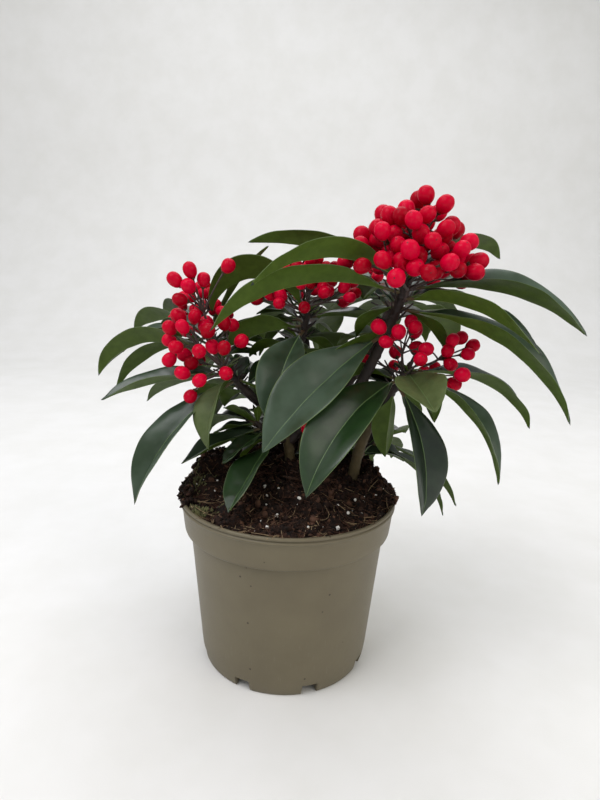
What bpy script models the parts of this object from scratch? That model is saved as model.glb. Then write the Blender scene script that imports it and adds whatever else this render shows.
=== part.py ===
"""Potted skimmia with ripe fruit, as separate closed solids in metres, +Z up.

The pot stands on the origin. The plant's front faces -Y, and +X is its right-hand side.
Every shoot follows one rule: a short stem carries a whorl of long leaves, and most stems
end in a panicle of fruit. The leaves that give the crown its outline are named one by one;
the others are dealt out by a seeded golden-angle rule and skipped where they would touch.
"""

import math
import random
from dataclasses import dataclass

import bmesh
import bpy
import numpy as np
from mathutils import Matrix, Vector, noise
from mathutils.bvhtree import BVHTree

MM = 0.001
SEED = 57
GAP = 0.3 * MM
GOLDEN_ANGLE = 137.508

# Pot, a 13 cm nursery pot
POT_HEIGHT = 105.0 * MM
RIM_RADIUS = 65.0 * MM
COLLAR_HEIGHT = 20.0 * MM
COLLAR_TOP_RADIUS = 64.0 * MM
COLLAR_FOOT_RADIUS = 62.4 * MM
BODY_TOP_RADIUS = 59.0 * MM
BODY_FOOT_RADIUS = 51.8 * MM
FOOT_RADIUS = 50.0 * MM
FOOT_WIDTH = 2.4 * MM
BODY_FOOT_HEIGHT = 6.0 * MM
WALL = 1.2 * MM
BEAD_DEPTH = 0.9 * MM
BEAD_HEIGHT = 1.8 * MM
PAD_RADIUS = 34.0 * MM
GROOVE_HEIGHT = 3.2 * MM
FOOT_COUNT = 8
NOTCH_WIDTH = 9.0 * MM
NOTCH_HEIGHT = 6.5 * MM
NOTCH_DEPTH = 14.0 * MM
FRONT_FOOT_ANGLE = -94.0
POT_SEGMENTS = 36

# Soil
SOIL_CLEARANCE = 0.5 * MM
SOIL_EDGE_HEIGHT = 103.5 * MM
SOIL_BACK_RISE = 2.5 * MM
MOUND_HEIGHT = 10.0 * MM
MOUND_CENTRE = (5.0 * MM, 20.0 * MM)
MOUND_SPREAD = 30.0 * MM
CRUMB_HEIGHT = 1.5 * MM
CRUMB_SIZE = 9.0 * MM
SOIL_SEGMENTS = 36
SOIL_TOP_RINGS = 7

# Limbs
LIMB_STEPS = 7
STEM_STEPS = 4
LIMB_STRAIGHT = 4.0 * MM
LIMB_PULL = 0.8
FLARE = 0.2
FLARE_LENGTH = 5.0 * MM
FLATS = 0.95
SOCKET_HEIGHT = 20.0 * MM

# Leaf rule
LEAF_STEPS = 24
LEAF_STATIONS = (0, 3, 8, 14, 20, 24)
LEAF_FOLD = 20.0
LEAF_THICKNESS = 1.3 * MM
PETIOLE_SHARE = 0.08
PETIOLE_WIDTH = 2.6 * MM
BLADE_OPENS = 1.25
BLADE_CLOSES = 1.1
DROOP_POWER = 1.2
LEAF_CLEARANCE = 0.7 * MM
BERRY_CLEARANCE = 0.3 * MM
GROUND_CLEARANCE = 1.2 * MM
GUARD_START_OTHERS = 3
GUARD_START_SIBLINGS = 9
NUDGES = ((0, 0), (6, 0), (-6, 0), (0, 6), (0, -6), (12, 0), (-12, 0), (0, 12), (0, -12))

# EXACT joins the same masses, but it takes far longer here
FUSE_SOLVER = "MANIFOLD"

# Fruit rule
BERRY_LENGTHENING = 1.1
PEDICEL_RADIUS = 0.65 * MM
AXIS_RADIUS = 1.3 * MM
AXIS_SHARE = 0.72
STALK_TOP = 0.66
STALK_DROP = 0.32
BERRY_SPACING = 1.16
BERRY_SCATTER = 1.2 * MM
DOME_FOOT = 0.12
SPREAD_ROUNDS = 40


@dataclass(frozen=True)
class Leaf:
    """One leaf: angles in degrees, sizes in millimetres, at = place along its stem, 0 to 1."""

    heading: float
    rise: float
    droop: float
    length: float
    width: float = 27.0
    roll: float = 0.0
    at: float = 0.85


@dataclass(frozen=True)
class Fruit:
    """A panicle: foot, top and spread in millimetres, and how many berries it carries."""

    foot: tuple
    top: tuple
    radius: float
    count: int
    berry: float


@dataclass(frozen=True)
class Limb:
    """A tapering limb, in millimetres, with a direction at each end.

    Its origin is a point in the soil, or the limb it grows from and how far along it, where
    1.0 is that limb's tip, which it carries on from in the same direction.
    """

    origin: tuple
    end: tuple
    start_radius: float
    end_radius: float
    leave: tuple
    arrive: tuple


@dataclass(frozen=True)
class Shoot:
    """A mass: the stem it grows on, its named leaves, its seeded leaves and its fruit."""

    stem: Limb
    leaves: tuple
    seeded: int = 0
    sector: tuple = (0.0, 360.0)
    seeded_rise: float = 25.0
    seeded_length: float = 80.0
    fruit: Fruit = None


UP = (0, 0, 1)

LIMBS = {
    "stem_left": Limb((0, 22, 111.5), (-7, 16, 139), 3.3, 2.8, UP, (-3, -1, 4)),
    "bough_left": Limb(("stem_left", 1.0), (-27, 7, 165), 2.6, 2.2, UP, (-6, -4, 6)),
    "bough_centre": Limb(("stem_left", 0.6), (4, 16, 190), 2.3, 2.0, (5, 0, 6), (1, -2, 9)),
    "stem_centre": Limb((14, 10, 110.5), (28, 0, 152), 3.8, 3.4, UP, (5, -4, 9)),
    "bough_top": Limb(("stem_centre", 1.0), (49, -19, 202), 3.2, 2.9, UP, (3, -3, 9)),
    "stem_right": Limb((40, 8, 106.5), (54, -9, 166), 3.4, 2.8, UP, (4, -5, 9)),
    "stem_back": Limb((8, 41, 110.5), (12, 47, 150), 3.5, 3.0, UP, (1, 1, 8)),
    "bough_back_centre": Limb(("stem_back", 1.0), (7, 56, 196), 2.8, 2.3, UP, (-1, 1, 9)),
    "bough_back_right": Limb(("stem_back", 0.6), (58, 44, 206), 2.4, 2.1, (7, 1, 6), (3, 1, 9)),
    "bough_back_left": Limb(("stem_back", 0.35), (-48, 42, 178), 2.4, 2.0, (-7, 1, 6), (-4, 1, 8)),
}

SHOOTS = {
    "mass_top": Shoot(
        Limb(("bough_top", 1.0), (59, -29, 236), 2.7, 2.4, UP, (2, -2, 9)),
        (
            Leaf(-153, -30, 22, 94, 35, 30, 0.15),
            Leaf(-13, 12, 52, 96, 27, 14, 0.80),
            Leaf(-46, 8, 47, 84, 25, 34, 0.66),
            Leaf(-21, -2, 61, 110, 25, 18, 0.52),
            Leaf(-157, 28, 66, 90, 23, -24, 0.92),
            Leaf(-168, 17, 63, 108, 24, -26, 0.74),
            Leaf(156, 21, 25, 97, 21, -25, 0.98),
            Leaf(32, 42, 70, 74, 22, 10, 0.95),
            Leaf(178, -42, 6, 50, 24, -20, 0.30),
        ),
        6, (45, 150), 28, 82,
        Fruit((59, -29, 230), (64, -32, 272), 35, 52, 9.6),
    ),
    "mass_front_right": Shoot(
        Limb(("stem_right", 1.0), (63, -22, 186), 2.6, 2.2, UP, (3, -5, 8)),
        (
            Leaf(-134, -8, 58, 94, 31, 16, 0.75),
            Leaf(-86, -4, 6, 60, 26, -12, 0.95),
            Leaf(-52, -44, 58, 78, 23, 10, 0.55),
            Leaf(-37, -6, 76, 82, 22, 10, 0.85),
            Leaf(5, 8, 68, 86, 22, 6, 0.92),
            Leaf(120, -80, 12, 42, 18, 0, 0.40),
            Leaf(49, -12, 50, 58, 18, 0, 0.60),
        ),
        3, (40, 150), 10, 66,
        Fruit((63, -21, 184), (71, -15, 202), 33, 21, 8.2),
    ),
    "mass_centre": Shoot(
        Limb(("bough_centre", 1.0), (8, 10, 214), 1.9, 1.7, UP, (1, -2, 9)),
        (
            Leaf(-112, -22, 56, 68, 27, 10, 0.50),
            Leaf(171, -6, 27, 52, 24, -35, 0.60),
            Leaf(-178, 64, 142, 74, 34, -20, 0.85),
            Leaf(15, 10, 40, 58, 20, 0, 0.80),
        ),
        3, (50, 150), 20, 60,
        Fruit((8, 10, 214), (6, 10, 246), 30, 25, 7.6),
    ),
    "mass_left": Shoot(
        Limb(("bough_left", 1.0), (-39, -1, 180), 2.1, 1.8, UP, (-6, -4, 6)),
        (
            Leaf(162, 34, 92, 101, 25, -16, 0.90),
            Leaf(-170, -2, 22, 76, 20, -14, 0.75),
            Leaf(-156, -29, 45, 96, 28, 16, 0.50),
            Leaf(-112, -14, 90, 52, 24, -30, 0.65),
            Leaf(146, 60, 85, 64, 16, 0, 0.95),
        ),
        3, (80, 160), 12, 68,
        Fruit((-39, -3, 180), (-66, -14, 207), 23, 24, 9.0),
    ),
    "mass_low_left": Shoot(
        Limb(("stem_left", 0.68), (-21, 6, 146), 1.9, 1.6, (-6, -7, 3), (-7, -1, 6)),
        (
            Leaf(-158, -16, 10, 53, 21, 0, 0.75),
            Leaf(-132, -10, 12, 40, 14, 0, 0.60),
            Leaf(-107, -26, 8, 72, 24, 10, 0.30),
            Leaf(169, -6, 23, 30, 11, 0, 0.90),
        ),
        3, (95, 160), 10, 56,
    ),
    "mass_low_right": Shoot(
        Limb(("stem_right", 0.3), (53, 24, 136), 1.9, 1.6, (4, 8, 5), (5, 8, 5)),
        (
            Leaf(10, -19, 43, 82, 14, 0, 0.80),
            Leaf(-7, -14, 62, 72, 14, 0, 0.60),
        ),
        3, (40, 130), 12, 64,
    ),
    "mass_back_right": Shoot(
        Limb(("bough_back_right", 1.0), (64, 48, 230), 2.0, 1.7, UP, (2, 1, 9)),
        (),
        9, (15, 165), 22, 78,
        Fruit((64, 48, 230), (65, 48, 256), 20, 11, 8.2),
    ),
    "mass_back_centre": Shoot(
        Limb(("bough_back_centre", 1.0), (5, 60, 216), 2.1, 1.8, UP, (-1, 1, 9)),
        (),
        9, (10, 175), 14, 78,
        Fruit((5, 60, 216), (4, 60, 238), 18, 10, 8.0),
    ),
    "mass_back_left": Shoot(
        Limb(("bough_back_left", 1.0), (-58, 44, 198), 1.9, 1.6, UP, (-4, 1, 8)),
        (Leaf(24, 61, 16, 70, 16, 20, 0.80),),
        8, (55, 186), 16, 72,
        Fruit((-58, 44, 198), (-62, 44, 226), 20, 11, 7.6),
    ),
    "mass_back_low": Shoot(
        Limb(("stem_back", 0.2), (14, 64, 138), 2.0, 1.7, (1, 8, 5), (2, 8, 7)),
        (),
        8, (20, 165), 12, 78,
    ),
}


def in_metres(point):
    """Turns a point given in millimetres into a vector in metres."""
    return np.array(point, float) * MM


def unit(vector):
    """Gives a vector of length one."""
    return np.array(vector, float) / np.linalg.norm(vector)


def material(name, colour, roughness):
    """Gives a Principled material with a linear base colour."""
    result = bpy.data.materials.new(name)
    result.use_nodes = True
    shader = result.node_tree.nodes["Principled BSDF"]
    shader.inputs["Base Color"].default_value = (*colour, 1.0)
    shader.inputs["Roughness"].default_value = roughness
    shader.inputs["Metallic"].default_value = 0.0
    result.diffuse_color = (*colour, 1.0)
    return result


def collection(name):
    """Adds a collection to the scene."""
    result = bpy.data.collections.new(name)
    bpy.context.scene.collection.children.link(result)
    return result


def mesh_object(name, vertices, faces, where):
    """Makes an object from points and faces, with its faces turned outward."""
    mesh = bpy.data.meshes.new(name)
    mesh.from_pydata([tuple(point) for point in vertices], [], faces)
    shape = bmesh.new()
    shape.from_mesh(mesh)
    bmesh.ops.recalc_face_normals(shape, faces=shape.faces)
    shape.to_mesh(mesh)
    shape.free()
    result = bpy.data.objects.new(name, mesh)
    where.objects.link(result)
    return result


def bmesh_object(name, shape, where):
    """Makes an object from a bmesh and frees it."""
    mesh = bpy.data.meshes.new(name)
    shape.to_mesh(mesh)
    shape.free()
    result = bpy.data.objects.new(name, mesh)
    where.objects.link(result)
    return result


# Limbs

def limb_root(limb):
    """Gives where a limb starts and which way, a gap clear of the limb that it grows from."""
    leave = unit(limb.leave)
    if len(limb.origin) == 3:
        return in_metres(limb.origin), leave
    name, share = limb.origin
    points, radii = limb_path(LIMBS[name])
    if share == 1.0:
        along = unit(LIMBS[name].arrive)
        return points[-1] + along * GAP, along
    along = unit(on_limb(points, share + 0.03) - on_limb(points, share - 0.03))
    thick = np.interp(share, np.linspace(0, 1, len(radii)), radii)
    cosine = float(along @ leave)
    sine = math.sqrt(1 - cosine**2)
    out = (FLATS * thick + GAP + FLATS * limb.start_radius * MM * cosine) / sine
    return on_limb(points, share) + leave * out, leave


def limb_path(limb, steps=LIMB_STEPS):
    """Gives a limb's points and radii along a smooth curve that leaves and arrives as told."""
    start, leave = limb_root(limb)
    end = in_metres(limb.end)
    arrive = unit(limb.arrive)
    reach = np.linalg.norm(end - start)
    straight = min(0.1 * reach, LIMB_STRAIGHT)
    first = start + leave * straight
    last = end - arrive * straight
    t = np.linspace(0.0, 1.0, steps)[:, None]
    pull = LIMB_PULL * reach
    curve = (
        (2 * t**3 - 3 * t**2 + 1) * first
        + (t**3 - 2 * t**2 + t) * leave * pull
        + (3 * t**2 - 2 * t**3) * last
        + (t**3 - t**2) * arrive * pull
    )
    points = np.vstack([start, curve, end])
    travelled = np.concatenate([[0.0], np.cumsum(np.linalg.norm(np.diff(points, axis=0), axis=1))])
    share = travelled / travelled[-1]
    radii = (limb.start_radius + (limb.end_radius - limb.start_radius) * share) * MM
    if len(limb.origin) == 3:
        radii *= 1 + FLARE * np.exp(-travelled / FLARE_LENGTH)
    return points, radii


def tube(name, points, radii, resolution, where):
    """Makes a closed tube mesh along the points, from a curve with a bevel."""
    curve = bpy.data.curves.new(name, "CURVE")
    curve.dimensions = "3D"
    curve.bevel_depth = 1.0
    curve.bevel_resolution = resolution
    curve.use_fill_caps = True
    spline = curve.splines.new("POLY")
    spline.points.add(len(points) - 1)
    for place, point, radius in zip(spline.points, points, radii):
        place.co = (*point, 1.0)
        place.radius = radius
    source = bpy.data.objects.new(name, curve)
    where.objects.link(source)
    depsgraph = bpy.context.evaluated_depsgraph_get()
    mesh = bpy.data.meshes.new_from_object(source.evaluated_get(depsgraph))
    bpy.data.objects.remove(source)
    shape = bmesh.new()
    shape.from_mesh(mesh)
    bmesh.ops.remove_doubles(shape, verts=shape.verts, dist=0.01 * MM)
    bmesh.ops.recalc_face_normals(shape, faces=shape.faces)
    shape.to_mesh(mesh)
    shape.free()
    result = bpy.data.objects.new(name, mesh)
    where.objects.link(result)
    return result


def rod(name, start, end, radius, sides, where):
    """Makes a straight closed rod between two points."""
    along = Vector(end) - Vector(start)
    shape = bmesh.new()
    bmesh.ops.create_cone(
        shape, cap_ends=True, segments=sides, radius1=radius, radius2=radius, depth=along.length
    )
    result = bmesh_object(name, shape, where)
    turn = along.to_track_quat("Z", "Y").to_matrix().to_4x4()
    result.matrix_world = Matrix.Translation((Vector(start) + Vector(end)) / 2) @ turn
    return result


def on_limb(points, share):
    """Gives the point a share of the way along a path."""
    place = share * (len(points) - 1)
    low = min(int(place), len(points) - 2)
    return points[low] + (points[low + 1] - points[low]) * (place - low)


# Leaves

def midrib(base, leaf):
    """Gives a leaf's midrib: it sets off at its rise and bends down along its length."""
    share = (np.arange(LEAF_STEPS) + 0.5) / LEAF_STEPS
    rise = np.radians(leaf.rise - leaf.droop * share**DROOP_POWER)
    heading = math.radians(leaf.heading)
    steps = np.stack(
        [np.cos(rise) * math.cos(heading), np.cos(rise) * math.sin(heading), np.sin(rise)], axis=1
    )
    reach = np.cumsum(steps, axis=0) * leaf.length * MM / LEAF_STEPS
    return np.vstack([base, base + reach])


def half_width(leaf, share):
    """Gives half the blade's width: a thin stalk, widest past the middle, a drawn-out tip."""
    blade = np.clip((share - PETIOLE_SHARE) / (1 - PETIOLE_SHARE), 0.0, 1.0)
    widest = BLADE_OPENS / (BLADE_OPENS + BLADE_CLOSES)
    fullest = widest**BLADE_OPENS * (1 - widest) ** BLADE_CLOSES
    outline = blade**BLADE_OPENS * (1 - blade) ** BLADE_CLOSES / fullest
    return np.maximum(outline * leaf.width * MM / 2, PETIOLE_WIDTH / 2 * (1 - share))


def leaf_frames(points, roll):
    """Gives the sideways and upward directions along a midrib."""
    along = np.gradient(points, axis=0)
    along /= np.linalg.norm(along, axis=1)[:, None]
    side = np.cross(along, UP)
    side /= np.maximum(np.linalg.norm(side, axis=1), 1e-6)[:, None]
    above = np.cross(side, along)
    turn = math.radians(roll)
    return (
        math.cos(turn) * side + math.sin(turn) * above,
        math.cos(turn) * above - math.sin(turn) * side,
    )


def blade_sections(base, leaf, grown=0.0):
    """Gives the leaf's left edge, top, right edge and underside at each station."""
    points = midrib(base, leaf)
    side, above = leaf_frames(points, leaf.roll)
    share = np.linspace(0.0, 1.0, LEAF_STEPS + 1)
    half = (half_width(leaf, share) + grown)[:, None]
    fold = math.radians(LEAF_FOLD)
    lift = half * math.sin(fold) * above
    out = half * math.cos(fold) * side
    thick = LEAF_THICKNESS / 2 + grown
    top = points + above * thick
    under = points - above * thick
    return np.stack([points - out + lift, top, points + out + lift, under], axis=1)


def blade_mesh(sections, stations):
    """Joins the sections at the chosen stations into a closed blade that ends in a point."""
    rings = sections[list(stations[:-1])]
    tip = sections[stations[-1]].mean(axis=0)
    vertices = np.vstack([rings.reshape(-1, 3), tip])
    last = len(vertices) - 1
    faces = [(0, 1, 2), (0, 2, 3)]
    for ring in range(len(rings) - 1):
        for corner in range(4):
            a = ring * 4 + corner
            b = ring * 4 + (corner + 1) % 4
            faces += [(a, b, b + 4), (a, b + 4, a + 4)]
    foot = (len(rings) - 1) * 4
    faces += [(foot + corner, foot + (corner + 1) % 4, last) for corner in range(4)]
    return vertices, faces


def clears_pot(points):
    """Says whether all points lie above the soil and the rim, or outside the pot."""
    for x, y, z in points:
        away = math.hypot(x, y)
        if away < COLLAR_TOP_RADIUS and z < soil_height(x, y) + GROUND_CLEARANCE:
            return False
        if away < RIM_RADIUS + GROUND_CLEARANCE and z < POT_HEIGHT + GROUND_CLEARANCE:
            return False
    return True


class Space:
    """Remembers what is taken, so that what would touch it is turned or skipped."""

    def __init__(self):
        self.blades = []
        self.limbs = []
        self.berries = []

    def add_limb(self, mass, points, radii):
        """Takes the room of a limb as a chain of balls."""
        fine = np.linspace(0, 1, 4 * len(points))
        sizes = np.interp(fine, np.linspace(0, 1, len(radii)), radii)
        for share, size in zip(fine, sizes):
            self.limbs.append((mass, Vector(on_limb(points, share)), size))

    def berry_is_free(self, mass, start, centre, radius):
        """Says whether a berry and its stalk keep clear of every leaf and other mass."""
        middle = Vector(centre)
        for owner, whole, siblings in self.blades:
            if whole.find_nearest(middle, radius + BERRY_CLEARANCE)[0] is not None:
                return False
        for place in stalk_places(start, centre):
            for owner, whole, siblings in self.blades:
                if owner != mass and whole.find_nearest(place, 2 * PEDICEL_RADIUS)[0] is not None:
                    return False
            for owner, other, size in self.limbs + self.berries:
                reach = size + 2 * PEDICEL_RADIUS + BERRY_CLEARANCE
                if owner != mass and (place - other).length < reach:
                    return False
        for owner, other, size in self.limbs + self.berries:
            reach = size + radius * BERRY_LENGTHENING + BERRY_CLEARANCE
            if owner != mass and (middle - other).length < reach:
                return False
        return True

    def add_berry(self, mass, start, centre, radius):
        """Takes the room of a berry, which every leaf keeps from, and of its stalk."""
        self.berries.append((mass, Vector(centre), radius * BERRY_LENGTHENING))
        for place in stalk_places(start, centre):
            self.limbs.append((mass, place, 2 * PEDICEL_RADIUS))

    def is_free(self, mass, base, leaf):
        """Says whether a leaf keeps clear of pot, soil, limbs, berries and other leaves."""
        if not clears_pot(blade_sections(base, leaf, LEAF_CLEARANCE).reshape(-1, 3)):
            return False
        whole, siblings = self.trees(base, leaf)
        for owner, centre, size in self.limbs:
            tree = siblings if owner == mass else whole
            if tree.find_nearest(centre, size)[0] is not None:
                return False
        for owner, centre, size in self.berries:
            if whole.find_nearest(centre, size)[0] is not None:
                return False
        for owner, other_whole, other_siblings in self.blades:
            if owner == mass and siblings.overlap(other_siblings):
                return False
            if owner != mass and whole.overlap(other_whole):
                return False
        return True

    def trees(self, base, leaf):
        """Gives a blade's room: from its stalk on, and the part that siblings keep from."""
        sections = blade_sections(base, leaf, LEAF_CLEARANCE)
        return tuple(
            BVHTree.FromPolygons(*blade_mesh(sections, list(range(start, LEAF_STEPS + 1))))
            for start in (GUARD_START_OTHERS, GUARD_START_SIBLINGS)
        )

    def take(self, mass, base, leaf):
        """Takes the room of a placed leaf."""
        self.blades.append((mass, *self.trees(base, leaf)))

    def settle(self, mass, base, leaf):
        """Turns a leaf a little until it is free, and gives it, or nothing if it never is."""
        for turn, lift in NUDGES:
            tried = Leaf(
                leaf.heading + turn, leaf.rise + lift, leaf.droop, leaf.length,
                leaf.width, leaf.roll, leaf.at,
            )
            if self.is_free(mass, base, tried):
                self.take(mass, base, tried)
                return tried
        return None


def seeded_leaves(name, shoot):
    """Deals out a shoot's unnamed leaves over its sector by the golden angle."""
    draw = random.Random(f"{SEED} {name}")
    low, high = shoot.sector
    for number in range(3 * shoot.seeded):
        turn = (number * GOLDEN_ANGLE / 360.0 + 0.15) % 1.0
        yield Leaf(
            low + (high - low) * turn,
            shoot.seeded_rise + draw.uniform(-26, 22),
            draw.uniform(35, 75),
            shoot.seeded_length * draw.uniform(0.82, 1.12),
            draw.uniform(22, 27),
            draw.uniform(-16, 16),
            0.35 + 0.6 * (number % 5) / 4,
        )


# Fruit

def berry_centres(name, fruit):
    """Spreads berries over a dome round the panicle's axis, then pushes them apart."""
    draw = random.Random(f"{SEED} fruit {name}")
    foot = in_metres(fruit.foot)
    axis = in_metres(fruit.top) - foot
    height = np.linalg.norm(axis)
    frame = np.array(Vector(axis).to_track_quat("Z", "Y").to_matrix()).T
    number = np.arange(fruit.count)
    level = DOME_FOOT + (1 - DOME_FOOT) * (number / (fruit.count - 1)) ** 1.15
    turn = np.radians(number * GOLDEN_ANGLE)
    dome = fruit.radius * MM * (1 - level**2.2) ** 0.7
    local = np.stack([dome * np.cos(turn), dome * np.sin(turn), level * height], axis=1)
    local += np.array([[draw.gauss(0, BERRY_SCATTER) for _ in range(3)] for _ in number])
    apart = fruit.berry * MM * BERRY_SPACING
    for _ in range(SPREAD_ROUNDS):
        between = local[:, None] - local[None]
        distance = np.linalg.norm(between, axis=2) + np.eye(fruit.count)
        short = np.clip(apart - distance, 0, None) * (1 - np.eye(fruit.count))
        local += 0.4 * (between / distance[..., None] * short[..., None]).sum(axis=1)
    return foot + local @ frame


def stalk_start(fruit, centre):
    """Gives where a berry's stalk leaves the panicle's axis, some way below the berry."""
    foot = in_metres(fruit.foot)
    axis = in_metres(fruit.top) - foot
    level = np.dot(centre - foot, axis) / np.dot(axis, axis) - STALK_DROP
    return foot + axis * min(max(level, 0.0), STALK_TOP)


def stalk_places(start, centre):
    """Gives five places along a berry's stalk."""
    return [Vector(start + (centre - start) * share) for share in np.linspace(0.1, 0.9, 5)]


def add_panicle(name, fruit, centres, where):
    """Adds the panicle's axis, stalks and berries as closed pieces."""
    foot = in_metres(fruit.foot)
    axis = in_metres(fruit.top) - foot
    rod(f"{name}_axis", foot - axis * 0.1, foot + axis * AXIS_SHARE, AXIS_RADIUS, 3, where)
    for number, centre in enumerate(centres):
        start = stalk_start(fruit, centre)
        rod(f"{name}_stalk_{number}", start, centre, PEDICEL_RADIUS, 3, where)
        add_berry(f"{name}_berry_{number}", start, centre, fruit.berry * MM / 2, where)


def add_berry(name, start, centre, radius, where):
    """Adds one ovoid berry whose long axis follows its stalk."""
    shape = bmesh.new()
    bmesh.ops.create_uvsphere(shape, u_segments=5, v_segments=4, radius=radius)
    berry = bmesh_object(name, shape, where)
    turn = Vector(centre - start).to_track_quat("Z", "Y").to_matrix().to_4x4()
    stretch = Matrix.Diagonal((1.0, 1.0, BERRY_LENGTHENING, 1.0))
    berry.matrix_world = Matrix.Translation(Vector(centre)) @ turn @ stretch


# Pot and soil

def pot_profile():
    """Gives the pot's section, from the inside of its floor over the rim to its underside."""
    collar_foot = POT_HEIGHT - COLLAR_HEIGHT
    bead = POT_HEIGHT - BEAD_HEIGHT
    return [
        (0.0, WALL),
        (PAD_RADIUS - WALL, WALL),
        (PAD_RADIUS, GROOVE_HEIGHT + WALL),
        (BODY_FOOT_RADIUS - 2 * WALL, GROOVE_HEIGHT + WALL),
        (BODY_FOOT_RADIUS - WALL, BODY_FOOT_HEIGHT),
        (BODY_TOP_RADIUS - WALL, collar_foot + WALL),
        (COLLAR_FOOT_RADIUS - WALL, collar_foot + WALL),
        (COLLAR_TOP_RADIUS - WALL, POT_HEIGHT - 0.4 * MM),
        (COLLAR_TOP_RADIUS - 0.8 * WALL, POT_HEIGHT),
        (RIM_RADIUS - 0.5 * MM, POT_HEIGHT),
        (RIM_RADIUS, POT_HEIGHT - 0.5 * MM),
        (RIM_RADIUS, bead + 0.3 * MM),
        (RIM_RADIUS - BEAD_DEPTH, bead - 0.3 * MM),
        (RIM_RADIUS - 0.3 * MM, bead - 1.1 * MM),
        (RIM_RADIUS - 0.3 * MM, bead - 2.0 * MM),
        (COLLAR_TOP_RADIUS, bead - 2.8 * MM),
        (COLLAR_FOOT_RADIUS, collar_foot + 0.5 * MM),
        (COLLAR_FOOT_RADIUS - 0.5 * MM, collar_foot),
        (BODY_TOP_RADIUS, collar_foot),
        (BODY_FOOT_RADIUS, BODY_FOOT_HEIGHT),
        (FOOT_RADIUS + 0.5 * MM, 0.8 * MM),
        (FOOT_RADIUS - 0.3 * MM, 0.0),
        (FOOT_RADIUS - FOOT_WIDTH, 0.0),
        (FOOT_RADIUS - FOOT_WIDTH, GROOVE_HEIGHT),
        (PAD_RADIUS + WALL, GROOVE_HEIGHT),
        (PAD_RADIUS, 0.0),
        (0.0, 0.0),
    ]


def turned(name, profile, segments, where):
    """Turns an open profile round the Z axis into a closed solid with a Screw modifier."""
    mesh = bpy.data.meshes.new(name)
    points = [(radius, 0.0, height) for radius, height in profile]
    mesh.from_pydata(points, [(place, place + 1) for place in range(len(points) - 1)], [])
    result = bpy.data.objects.new(name, mesh)
    where.objects.link(result)
    screw = result.modifiers.new("turn", "SCREW")
    screw.steps = segments
    screw.render_steps = segments
    screw.use_merge_vertices = True
    screw.merge_threshold = 0.02 * MM
    screw.use_smooth_shade = True
    return result


def cut(target, cutters):
    """Cuts a collection of cutters out of an object."""
    modifier = target.modifiers.new("cut", "BOOLEAN")
    modifier.operation = "DIFFERENCE"
    modifier.operand_type = "COLLECTION"
    modifier.collection = cutters
    modifier.solver = "EXACT"


def build_pot(where, cutters):
    """Builds the pot with its drain notches between the feet."""
    pot = turned("pot", pot_profile(), POT_SEGMENTS, where)
    for number in range(FOOT_COUNT):
        angle = math.radians(FRONT_FOOT_ANGLE + (number + 0.5) * 360.0 / FOOT_COUNT)
        shape = bmesh.new()
        bmesh.ops.create_cube(shape, size=1.0)
        notch = bmesh_object(f"notch_{number}", shape, cutters)
        reach = FOOT_RADIUS - 0.5 * MM
        size = Matrix.Diagonal((NOTCH_DEPTH, NOTCH_WIDTH, 2 * NOTCH_HEIGHT, 1.0))
        place = Matrix.Translation((reach * math.cos(angle), reach * math.sin(angle), 0.0))
        notch.matrix_world = place @ Matrix.Rotation(angle, 4, "Z") @ size
        notch.display_type = "WIRE"
        notch.hide_render = True
    cut(pot, cutters)
    pot.data.materials.append(material("pot plastic", (0.153, 0.130, 0.090), 0.45))
    return pot


def soil_height(x, y):
    """Gives the height of the soil's surface: a low mound that rises to the back."""
    away = ((x - MOUND_CENTRE[0]) ** 2 + (y - MOUND_CENTRE[1]) ** 2) / (2 * MOUND_SPREAD**2)
    height = SOIL_EDGE_HEIGHT + SOIL_BACK_RISE * y / BODY_TOP_RADIUS
    height += MOUND_HEIGHT * math.exp(-away)
    crumbs = noise.noise(Vector((x / CRUMB_SIZE, y / CRUMB_SIZE, 0.5)))
    return height + CRUMB_HEIGHT * crumbs


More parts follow.
